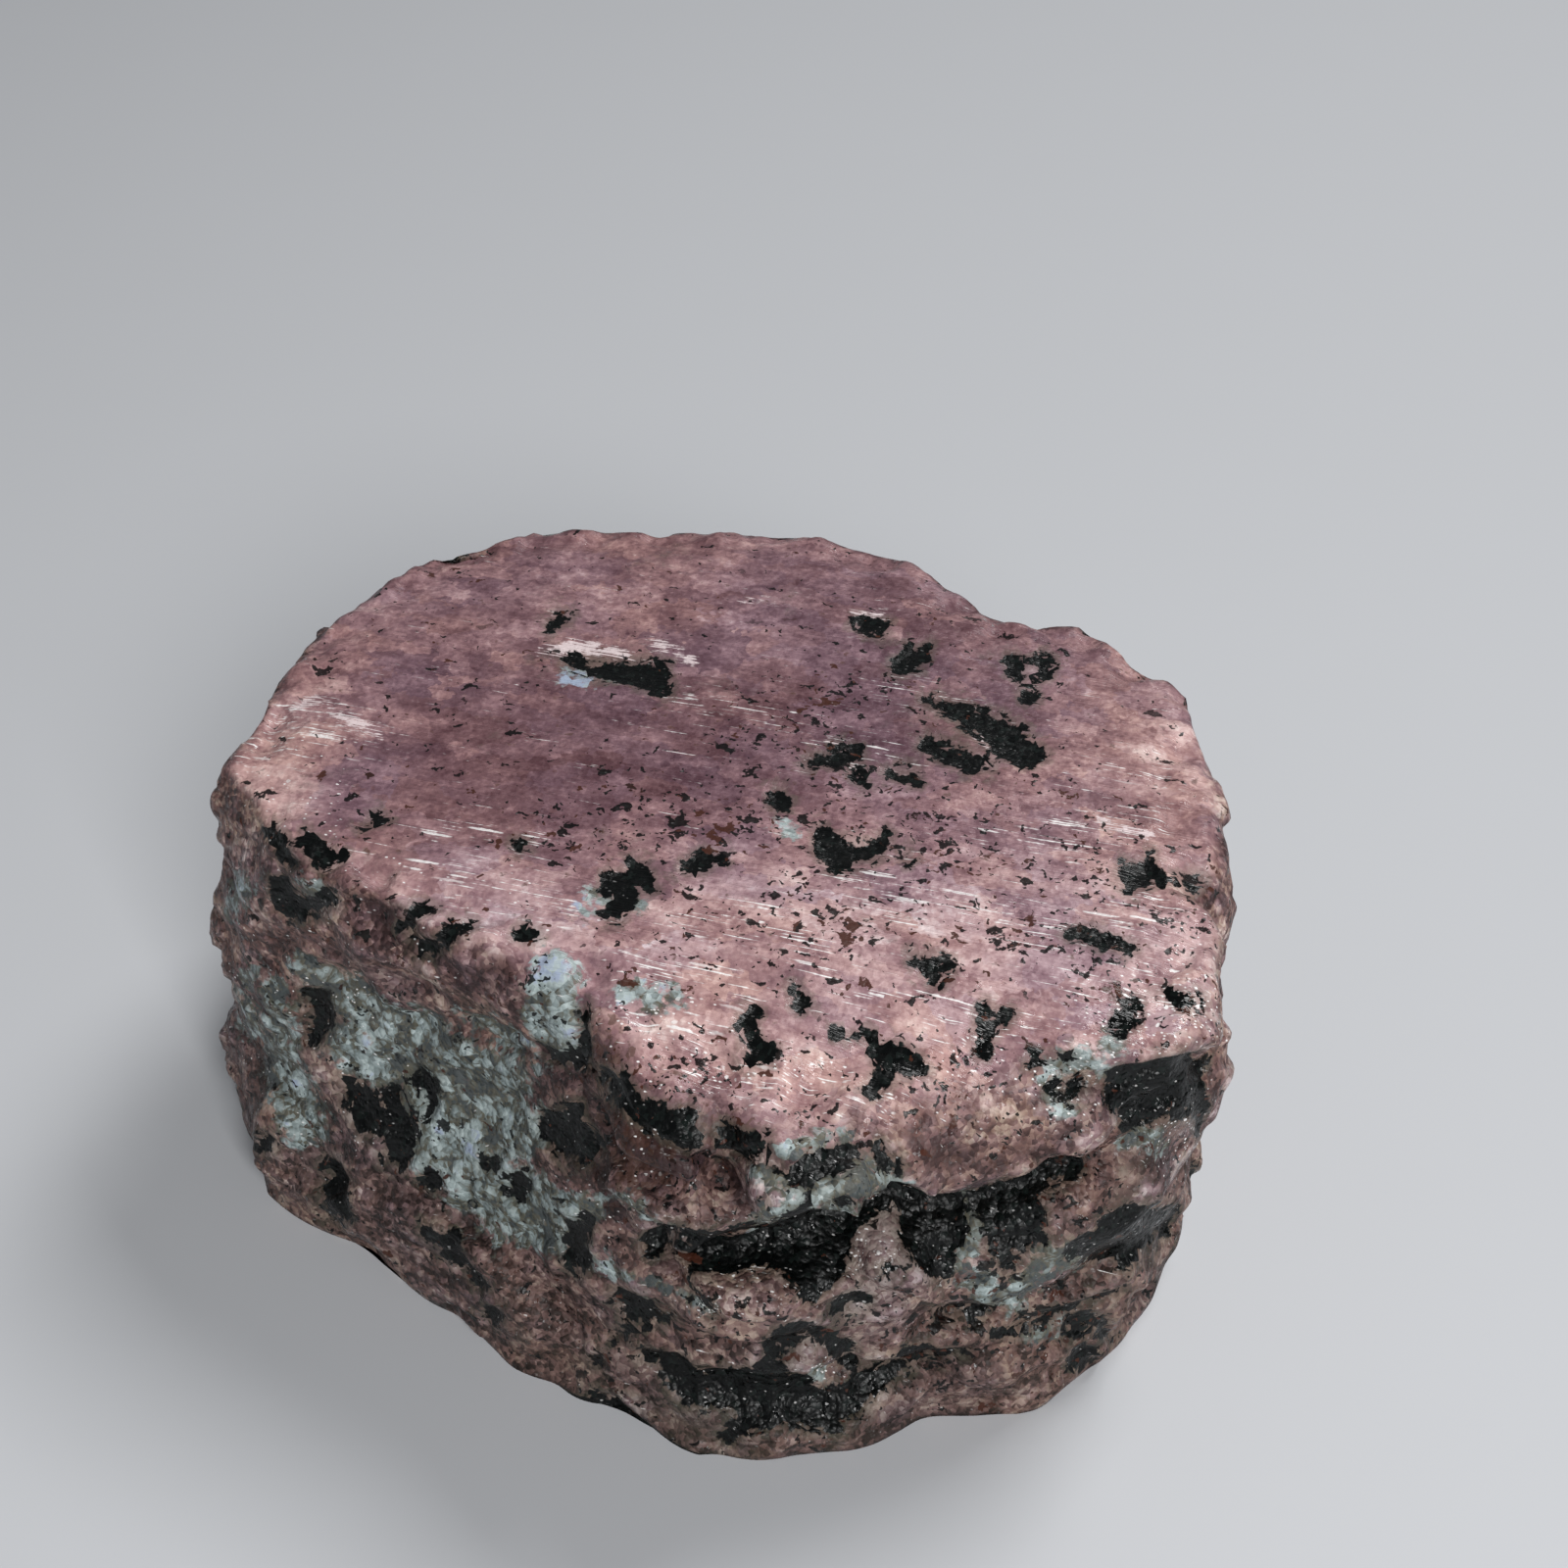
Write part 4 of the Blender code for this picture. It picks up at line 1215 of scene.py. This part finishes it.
class Shading:
    """Short ways to add nodes to one material. A value may be a number, a colour or another node's output."""

    def __init__(self, name):
        self.material = bpy.data.materials.new(name)
        self.material.use_nodes = True
        self.tree = self.material.node_tree
        self.shader = self.tree.nodes["Principled BSDF"]

    def put(self, socket, value):
        """Link a node's output to a socket, or set the socket to a plain value."""
        if isinstance(value, bpy.types.NodeSocket):
            self.tree.links.new(value, socket)
        else:
            socket.default_value = value

    def add(self, kind, values=(), **settings):
        """A new node with these settings and values for its sockets."""
        made = self.tree.nodes.new(kind)
        for setting, value in settings.items():
            setattr(made, setting, value)
        for socket, value in dict(values).items():
            self.put(made.inputs[socket], value)
        return made

    def read(self, attribute):
        return self.add("ShaderNodeAttribute", attribute_name=attribute).outputs["Fac"]

    def math(self, operation, first, second=0.0, third=0.0):
        values = {0: first, 1: second, 2: third}
        return self.add("ShaderNodeMath", values, operation=operation).outputs[0]

    def vector(self, operation, first, second=(0, 0, 0), third=(0, 0, 0), scale=1.0):
        values = {0: first, 1: second, 2: third, 3: scale}
        return self.add("ShaderNodeVectorMath", values, operation=operation).outputs[0]

    def ramp(self, value, low, high):
        """0 where value is at low, 1 where it is at high, and smooth between."""
        values = {"Value": value, "From Min": low, "From Max": high}
        made = self.add("ShaderNodeMapRange", values, interpolation_type="SMOOTHSTEP")
        return made.outputs[0]

    def mix(self, share, first, second, blend="MIX"):
        """Two colours mixed. Sockets 6 and 7 of a Mix node take the colours, and output 2 gives the mix."""
        made = self.add("ShaderNodeMix", {"Factor": share}, data_type="RGBA", blend_type=blend)
        for socket, colour in ((6, first), (7, second)):
            linked = isinstance(colour, bpy.types.NodeSocket)
            self.put(made.inputs[socket], colour if linked else (*colour, 1.0))
        return made.outputs[2]

    def noise(self, place, scale, detail, roughness):
        values = {"Vector": place, "Scale": scale, "Detail": detail, "Roughness": roughness}
        return self.add("ShaderNodeTexNoise", values).outputs["Fac"]

    def cells(self, place, scale=1.0, distance="EUCLIDEAN"):
        return self.add("ShaderNodeTexVoronoi", {"Vector": place, "Scale": scale}, distance=distance)

    def pick(self, cells, channel):
        """One random number from 0 to 1 for each cell. Each of the channels 0, 1 and 2 gives another."""
        return self.add("ShaderNodeSeparateColor", {0: cells.outputs["Color"]}).outputs[channel]

    def swing(self, value, amount):
        """The value's swing about 0.5, times an amount."""
        return self.math("MULTIPLY_ADD", value, amount, -amount / 2)

    def scaled(self, value, factor, added=0.0):
        """value * factor + added."""
        return self.math("MULTIPLY_ADD", value, factor, added)

    def chained(self, operation, values):
        """All the values joined one after another by an operation."""
        return functools.reduce(lambda result, value: self.math(operation, result, value), values)

    def total(self, *values):
        return self.chained("ADD", values)

    def product(self, *values):
        return self.chained("MULTIPLY", values)

    def largest(self, *values):
        return self.chained("MAXIMUM", values)

    def bands(self, value, stops):
        """A colour read off a table of places from 0 to 1 and their colours."""
        made = self.add("ShaderNodeValToRGB", {0: value})
        elements = made.color_ramp.elements
        for number, (place, colour) in enumerate(stops.items()):
            element = elements[number] if number < 2 else elements.new(place)
            element.position = place
            element.color = (*colour, 1.0)
        return made.outputs[0]


class StoneShading(Shading):
    """The stone's material, with the textures that its minerals share. Distances are in millimetres."""

    def __init__(self):
        super().__init__("ruby_stone")
        metres = self.add("ShaderNodeTexCoord").outputs["Object"]
        self.place = self.vector("SCALE", metres, scale=1 / MM)
        self.ground = self.read("ground")
        self.wall = self.math("SUBTRACT", 1.0, self.ground)
        self.ragged = self.noise(self.place, *RAGGED)
        self.fine = self.noise(self.place, *FINE)
        self.grit = self.noise(self.place, *GRIT)
        self.veil = self.noise(self.along(self.place, VEIL_SIZES), *VEIL)
        self.scratch = self.noise(self.along(self.place, SCRATCH_SIZES), *SCRATCH)
        self.crumbs = self.cells(self.place, CRUMBS_PER_MM)
        self.grains = self.cells(self.place, GRAINS_PER_MM)
        self.sugar = self.cells(self.along(self.place, SUGAR_SIZES))
        values = {"Vector": self.place, "Scale": DRIFT[0], "Detail": DRIFT[1]}
        drift = self.add("ShaderNodeTexNoise", values).outputs["Color"]
        drift = self.vector("SUBTRACT", drift, MIDDLE)
        self.drifted = self.vector("MULTIPLY_ADD", drift, DRIFT_REACH, self.place)
        self.domains = self.cells(self.along(self.drifted, DOMAIN_SIZES))
        self.crumb_tone = self.pick(self.crumbs, 0)
        self.grain_tone = self.pick(self.grains, 0)
        # Painted shade in the crevices between crumbs: darker near each crumb's edge
        gap = self.total(self.crumbs.outputs["Distance"], self.swing(self.fine, 0.5))
        self.gap = self.ramp(gap, 0.40, 0.70)
        core = self.total(self.sugar.outputs["Distance"], self.swing(self.grit, 0.8))
        self.sugar_core = self.ramp(core, 0.42, 0.16)

    def along(self, place, sizes):
        """Place measured along the grinding marks, across them and up, each in units of its own size."""
        values = {"Vector": place, "Rotation": (0, 0, GRIND_TURN), "Scale": sizes}
        return self.add("ShaderNodeMapping", values, vector_type="TEXTURE").outputs[0]


def ruby_colour(s, settings):
    """Ruby from deep plum to pale bruised pink, greyer on the walls, with warm, cool and rusty places, and
    painted shade.
    """
    tone = s.total(
        s.read("tone"),
        s.product(s.swing(s.veil, 0.85), s.scaled(s.wall, -0.35, 1.0)),
        s.swing(s.ragged, 0.26),
        s.swing(s.pick(s.domains, 0), 0.20),
        s.product(s.swing(s.crumb_tone, 0.34), s.wall),
        s.swing(s.fine, 0.30),
        s.product(s.swing(s.grain_tone, 1.0), s.scaled(s.wall, 0.42, 0.10)),
    )
    stops = {
        0.05: settings.plum,
        0.30: settings.mauve,
        0.50: settings.ruby,
        0.72: settings.blush,
        0.98: settings.frost,
    }
    wall_stops = {0.05: settings.dusk, 0.48: settings.rose, 0.92: settings.shell}
    colour = s.mix(s.read("greyed"), s.bands(tone, stops), s.bands(tone, wall_stops))
    tan = s.ramp(s.total(s.read("tan"), s.swing(s.ragged, 1.0)), 0.22, 0.75)
    colour = s.mix(s.product(tan, 0.6), colour, settings.olive)
    cast = s.total(s.read("cast"), s.swing(s.ragged, 0.5), s.swing(s.pick(s.domains, 1), 0.50))
    tint = s.bands(cast, {0.1: settings.cream, 0.45: WHITE, 0.85: settings.lilac})
    colour = s.mix(1.0, colour, tint, "MULTIPLY")
    rusty = s.total(s.read("rusty"), s.swing(s.ragged, 1.6), s.swing(s.grain_tone, 0.6))
    colour = s.mix(s.product(s.ramp(rusty, 0.38, 0.62), 0.75), colour, settings.rusty)
    # Film and painted shade: darker in hollows, creases, crevices between crumbs and below the lips, and low
    # down
    film_and_shade = s.scaled(s.product(s.gap, s.wall), 0.62, s.read("film_and_shade"))
    return s.mix(film_and_shade, colour, settings.film_and_shade, "MULTIPLY")


def with_pale_rock(s, settings, colour):
    """The colour with the pale rock over it, mottled in slate, olive, grey-green, milk and blue."""
    edge = s.total(s.swing(s.ragged, 3.0), s.swing(s.crumb_tone, 0.7), s.swing(s.grain_tone, 0.3))
    inside = s.ramp(s.total(s.read("pale_rock"), edge), 0.30, -0.30)
    tone = s.total(
        s.read("rock_tone"),
        s.swing(s.fine, 0.20),
        s.swing(s.ragged, 0.16),
        s.swing(s.pick(s.domains, 2), 0.16),
        s.swing(s.pick(s.crumbs, 2), 0.34),
        s.swing(s.grain_tone, 0.26),
        # Painted shade in the crevices between crumbs
        s.product(s.gap, -0.16),
    )
    stops = {
        0.10: settings.slate,
        0.24: settings.olive,
        0.42: settings.pale_rock,
        0.66: settings.milk,
        0.86: settings.sky_fleck,
    }
    return s.mix(s.product(inside, 0.94), colour, s.bands(tone, stops))


def with_hornblende(s, settings, colour):
    """The colour with hornblende, its olive rim, loose specks and painted pinpoint highlights, and how black
    each place is.
    """
    edge = s.total(
        s.read("hornblende"),
        s.swing(s.ragged, 1.1),
        s.swing(s.pick(s.crumbs, 1), 0.70),
        s.swing(s.pick(s.grains, 1), 0.18),
    )
    colour = s.mix(s.product(s.ramp(edge, 0.75, 0.1), 0.40), colour, settings.olive)
    specks = 0.0
    brown = 0.0
    for sizes, reach, share in SPECK_SIZES.values():
        dots = s.cells(s.along(s.drifted, sizes), distance="MANHATTAN")
        chosen = s.ramp(s.scaled(s.read("specks"), share, s.pick(dots, 1)), 0.99, 1.01)
        radius = s.scaled(s.pick(dots, 2), 0.95 * reach, 0.66 * reach)
        away = s.math("SUBTRACT", s.total(dots.outputs["Distance"], s.swing(s.grit, 0.7)), radius)
        dot = s.product(s.ramp(away, 0.05, -0.05), chosen)
        specks = s.largest(specks, dot)
        brown = s.largest(brown, s.product(dot, s.ramp(s.pick(dots, 0), 0.80, 0.84)))
    black = s.largest(s.ramp(edge, 0.06, -0.06), s.product(specks, 0.95))
    night = s.mix(s.ramp(s.pick(s.grains, 2), 0.70, 0.98), settings.hornblende, settings.green_black)
    # Painted highlights: pinpoint glints on the hornblende
    painted_twinkle = s.ramp(s.pick(s.sugar, 0), 0.950, 0.975)
    painted_twinkle = s.product(painted_twinkle, s.sugar_core, s.scaled(s.wall, 0.35, 0.15))
    night = s.mix(painted_twinkle, night, settings.spark)
    night = s.mix(brown, night, settings.rust)
    return s.mix(black, colour, night), black


def with_marks(s, settings, colour, black):
    """The colour with white smears and painted highlights of grinding marks and sugary grains, and the
    highlights' strength.
    """
    pale = s.math("SUBTRACT", 1.0, black)
    # White smears: partly bruised whiteness, partly painted highlight
    smear = s.total(s.read("bruise_highlights"), s.swing(s.ragged, 1.6), s.swing(s.scratch, 1.8))
    colour = s.mix(s.product(s.ramp(smear, 0.12, -0.12), pale, 0.85), colour, settings.bruise_highlight)
    glints = s.read("glints")
    # Painted highlights: thin bright grinding marks, as streaks and as short lines
    streak = s.total(s.scratch, s.swing(s.fine, 0.3), s.product(glints, 0.30))
    marks = s.cells(s.along(s.place, MARK_SIZES))
    chosen = s.ramp(s.scaled(glints, 0.57, s.pick(marks, 0)), 1.04, 1.12)
    reach = s.scaled(s.pick(marks, 1), 0.34, 0.12)
    inside = s.math("SUBTRACT", s.total(reach, s.swing(s.fine, 0.5)), marks.outputs["Distance"])
    line = s.product(chosen, s.scaled(s.pick(marks, 2), 0.5, 0.5), s.ramp(inside, -0.06, 0.10))
    # Painted highlights: glittering sugary grains as white dots; the same grains are made glossier below
    sweetness = s.read("sugar")
    painted_glitter = s.product(s.ramp(s.scaled(sweetness, 1.6, s.pick(s.sugar, 1)), 1.0, 1.03), s.sugar_core)
    painted_flake = s.ramp(s.scaled(sweetness, 0.35, s.pick(s.grains, 2)), 1.0, 1.04)
    flake_core = s.ramp(s.total(s.grains.outputs["Distance"], s.swing(s.fine, 1.2)), 0.42, 0.22)
    painted_glints = s.largest(s.ramp(streak, 0.73, 0.87), line, painted_glitter, s.product(painted_flake, flake_core))
    painted_glints = s.product(painted_glints, pale)
    return s.mix(s.product(painted_glints, 0.92), colour, settings.spark), painted_glints


def grain_normal(s, black):
    """The surface's normal with each grain's facet leaning its own way, and a bump of scratches and domes."""
    normal = s.add("ShaderNodeNewGeometry").outputs["Normal"]
    for cells, more_on_wall, on_ground in ((s.grains, 0.20, 0.14), (s.crumbs, 0.40, 0.03)):
        share = s.product(s.scaled(s.wall, more_on_wall, on_ground), s.scaled(black, -0.50, 1.0))
        lean = s.vector("SUBTRACT", cells.outputs["Color"], MIDDLE)
        normal = s.vector("ADD", normal, s.vector("SCALE", lean, scale=share))
    height = s.product(s.scratch, s.ground, 0.10)
    height = s.scaled(s.fine, s.scaled(s.wall, 0.04, 0.08), height)
    crumb_dome = s.math("POWER", s.crumbs.outputs["Distance"], 2.0)
    dome = s.scaled(s.grains.outputs["Distance"], 0.40, crumb_dome)
    height = s.scaled(dome, s.product(s.wall, -0.22), height)
    values = {"Height": height, "Normal": s.vector("NORMALIZE", normal), "Distance": MM, "Strength": 0.9}
    return s.add("ShaderNodeBump", values).outputs[0]


def stone_material(settings):
    """Ruby with pale rock, hornblende, specks, painted shade and painted highlights of grinding marks and
    sugary grains.
    """
    s = StoneShading()
    colour = with_pale_rock(s, settings, ruby_colour(s, settings))
    colour, black = with_hornblende(s, settings, colour)
    colour, painted_glints = with_marks(s, settings, colour, black)
    rough = s.total(s.swing(s.fine, 0.5), s.scaled(s.wall, 0.14, 0.40))
    bright_grains = s.ramp(s.pick(s.grains, 1), 0.84, 0.90)
    for shiny, amount in ((bright_grains, 0.26), (painted_glints, 0.20), (s.read("sugar"), 1.10), (black, 0.10)):
        rough = s.scaled(shiny, -amount, rough)
    s.put(s.shader.inputs["Base Color"], colour)
    s.put(s.shader.inputs["Roughness"], rough)
    s.put(s.shader.inputs["Normal"], grain_normal(s, black))
    s.shader.inputs["IOR"].default_value = 1.55
    s.shader.inputs["Specular IOR Level"].default_value = 0.22
    return s.material


class RUBY_OT_stone(bpy.types.Operator):
    """Make the ruby crystal"""

    bl_idname = "ruby.stone"
    bl_label = "Ruby crystal"

    def execute(self, context):
        settings = context.scene.ruby_stone
        square, climb, faces = block_grid(settings.round_faces, settings.wall_faces)
        azimuth, spread = on_the_square(square)
        rings = (settings.wall_faces + 1, 4 * settings.round_faces)
        facing = plain_facing(azimuth, climb, spread, faces, rings)
        points, ground, relief = stone_points(azimuth, climb, spread)
        wear_rim(points, ground, spread)
        normals = point_normals(points, faces)
        seen = photo_places(points)
        forms = {name: blocks(points, numbers[0]) for name, numbers in BLOCKS.items()}
        forms["relief"] = relief
        forms["crease_line"] = seen_distance(CREASES, seen, facing)
        forms["lips"] = lip_heights(points, seen, facing)
        forms["smooth"] = np.clip(spots(seen, facing, SMOOTH), 0, SMOOTHEST)
        dress = dress_points(points, normals, facing, ground, forms)
        roughen(points, normals, ground, forms, dress["hornblende"])
        rest_on_floor(points, climb, spread)

        stone = make_mesh("ruby_crystal_stone", points, faces)
        for name, values in dress.items():
            add_attribute(stone.data, name, values)
        stone.data.materials.append(stone_material(settings))
        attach(stone, "root")
        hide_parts("ruby_crystal")
        return {"FINISHED"}


def add_light(name, place, size, power):
    """A square soft light that faces the stone."""
    light = bpy.data.lights.new(name, "AREA")
    light.size = size
    light.energy = power
    made = bpy.data.objects.new(name, light)
    made.location = place
    made.rotation_euler = (Vector(STONE_MIDDLE) - Vector(place)).to_track_quat("-Z", "Y").to_euler()
    bpy.context.scene.collection.objects.link(made)


class RUBY_OT_stage(bpy.types.Operator):
    """Make the floor, the lights and the camera"""

    bl_idname = "ruby.stage"
    bl_label = "Stage"

    def execute(self, context):
        settings = context.scene.ruby_stage
        scene = context.scene
        half = settings.floor_size / 2
        corners = np.array([(-half, -half, 0), (half, -half, 0), (half, half, 0), (-half, half, 0)])
        floor = make_mesh("floor", corners, np.array([(0, 1, 2, 3)]))
        s = Shading("pale_floor")
        mottle = s.noise(s.add("ShaderNodeTexCoord").outputs["Object"], *FLOOR_MOTTLE)
        colour = s.mix(s.product(mottle, 0.1), settings.floor_colour, MIDDLE)
        s.put(s.shader.inputs["Base Color"], colour)
        s.shader.inputs["Roughness"].default_value = 0.9
        floor.data.materials.append(s.material)

        add_light("window", *KEY_LIGHT, settings.key_power)
        add_light("fill", *FILL_LIGHT, settings.fill_power)
        world = bpy.data.worlds.new("light_from_all_round")
        world.use_nodes = True
        background = world.node_tree.nodes["Background"]
        background.inputs["Color"].default_value = (*settings.round_colour, 1)
        background.inputs["Strength"].default_value = settings.round_strength
        scene.world = world

        camera = bpy.data.cameras.new("camera")
        camera.lens = LENS
        camera.sensor_width = SENSOR
        camera.clip_start = CLIP_START
        made = bpy.data.objects.new("camera", camera)
        made.location = CAMERA_PLACE
        made.rotation_euler = (CAMERA_TURN, 0, 0)
        scene.collection.objects.link(made)
        scene.camera = made
        scene.view_settings.view_transform = "Standard"
        return {"FINISHED"}


class RUBY_PT_panel(bpy.types.Panel):
    """Lists the stone, the stage and their settings"""

    bl_label = "Ruby crystal"
    bl_space_type = "VIEW_3D"
    bl_region_type = "UI"
    bl_category = "Ruby"

    def draw(self, context):
        scene = context.scene
        for operator, settings in (("ruby.stone", scene.ruby_stone), ("ruby.stage", scene.ruby_stage)):
            self.layout.operator(operator)
            for name in settings.__annotations__:
                self.layout.prop(settings, name)


CLASSES = (StoneSettings, StageSettings, RUBY_OT_stone, RUBY_OT_stage, RUBY_PT_panel)


def register():
    for kind in CLASSES:
        bpy.utils.register_class(kind)
    bpy.types.Scene.ruby_stone = bpy.props.PointerProperty(type=StoneSettings)
    bpy.types.Scene.ruby_stage = bpy.props.PointerProperty(type=StageSettings)


def unregister():
    del bpy.types.Scene.ruby_stage
    del bpy.types.Scene.ruby_stone
    for kind in reversed(CLASSES):
        bpy.utils.unregister_class(kind)


def main():
    register()
    bpy.ops.ruby.stage()
    bpy.ops.ruby.stone()


if __name__ == "__main__":
    main()
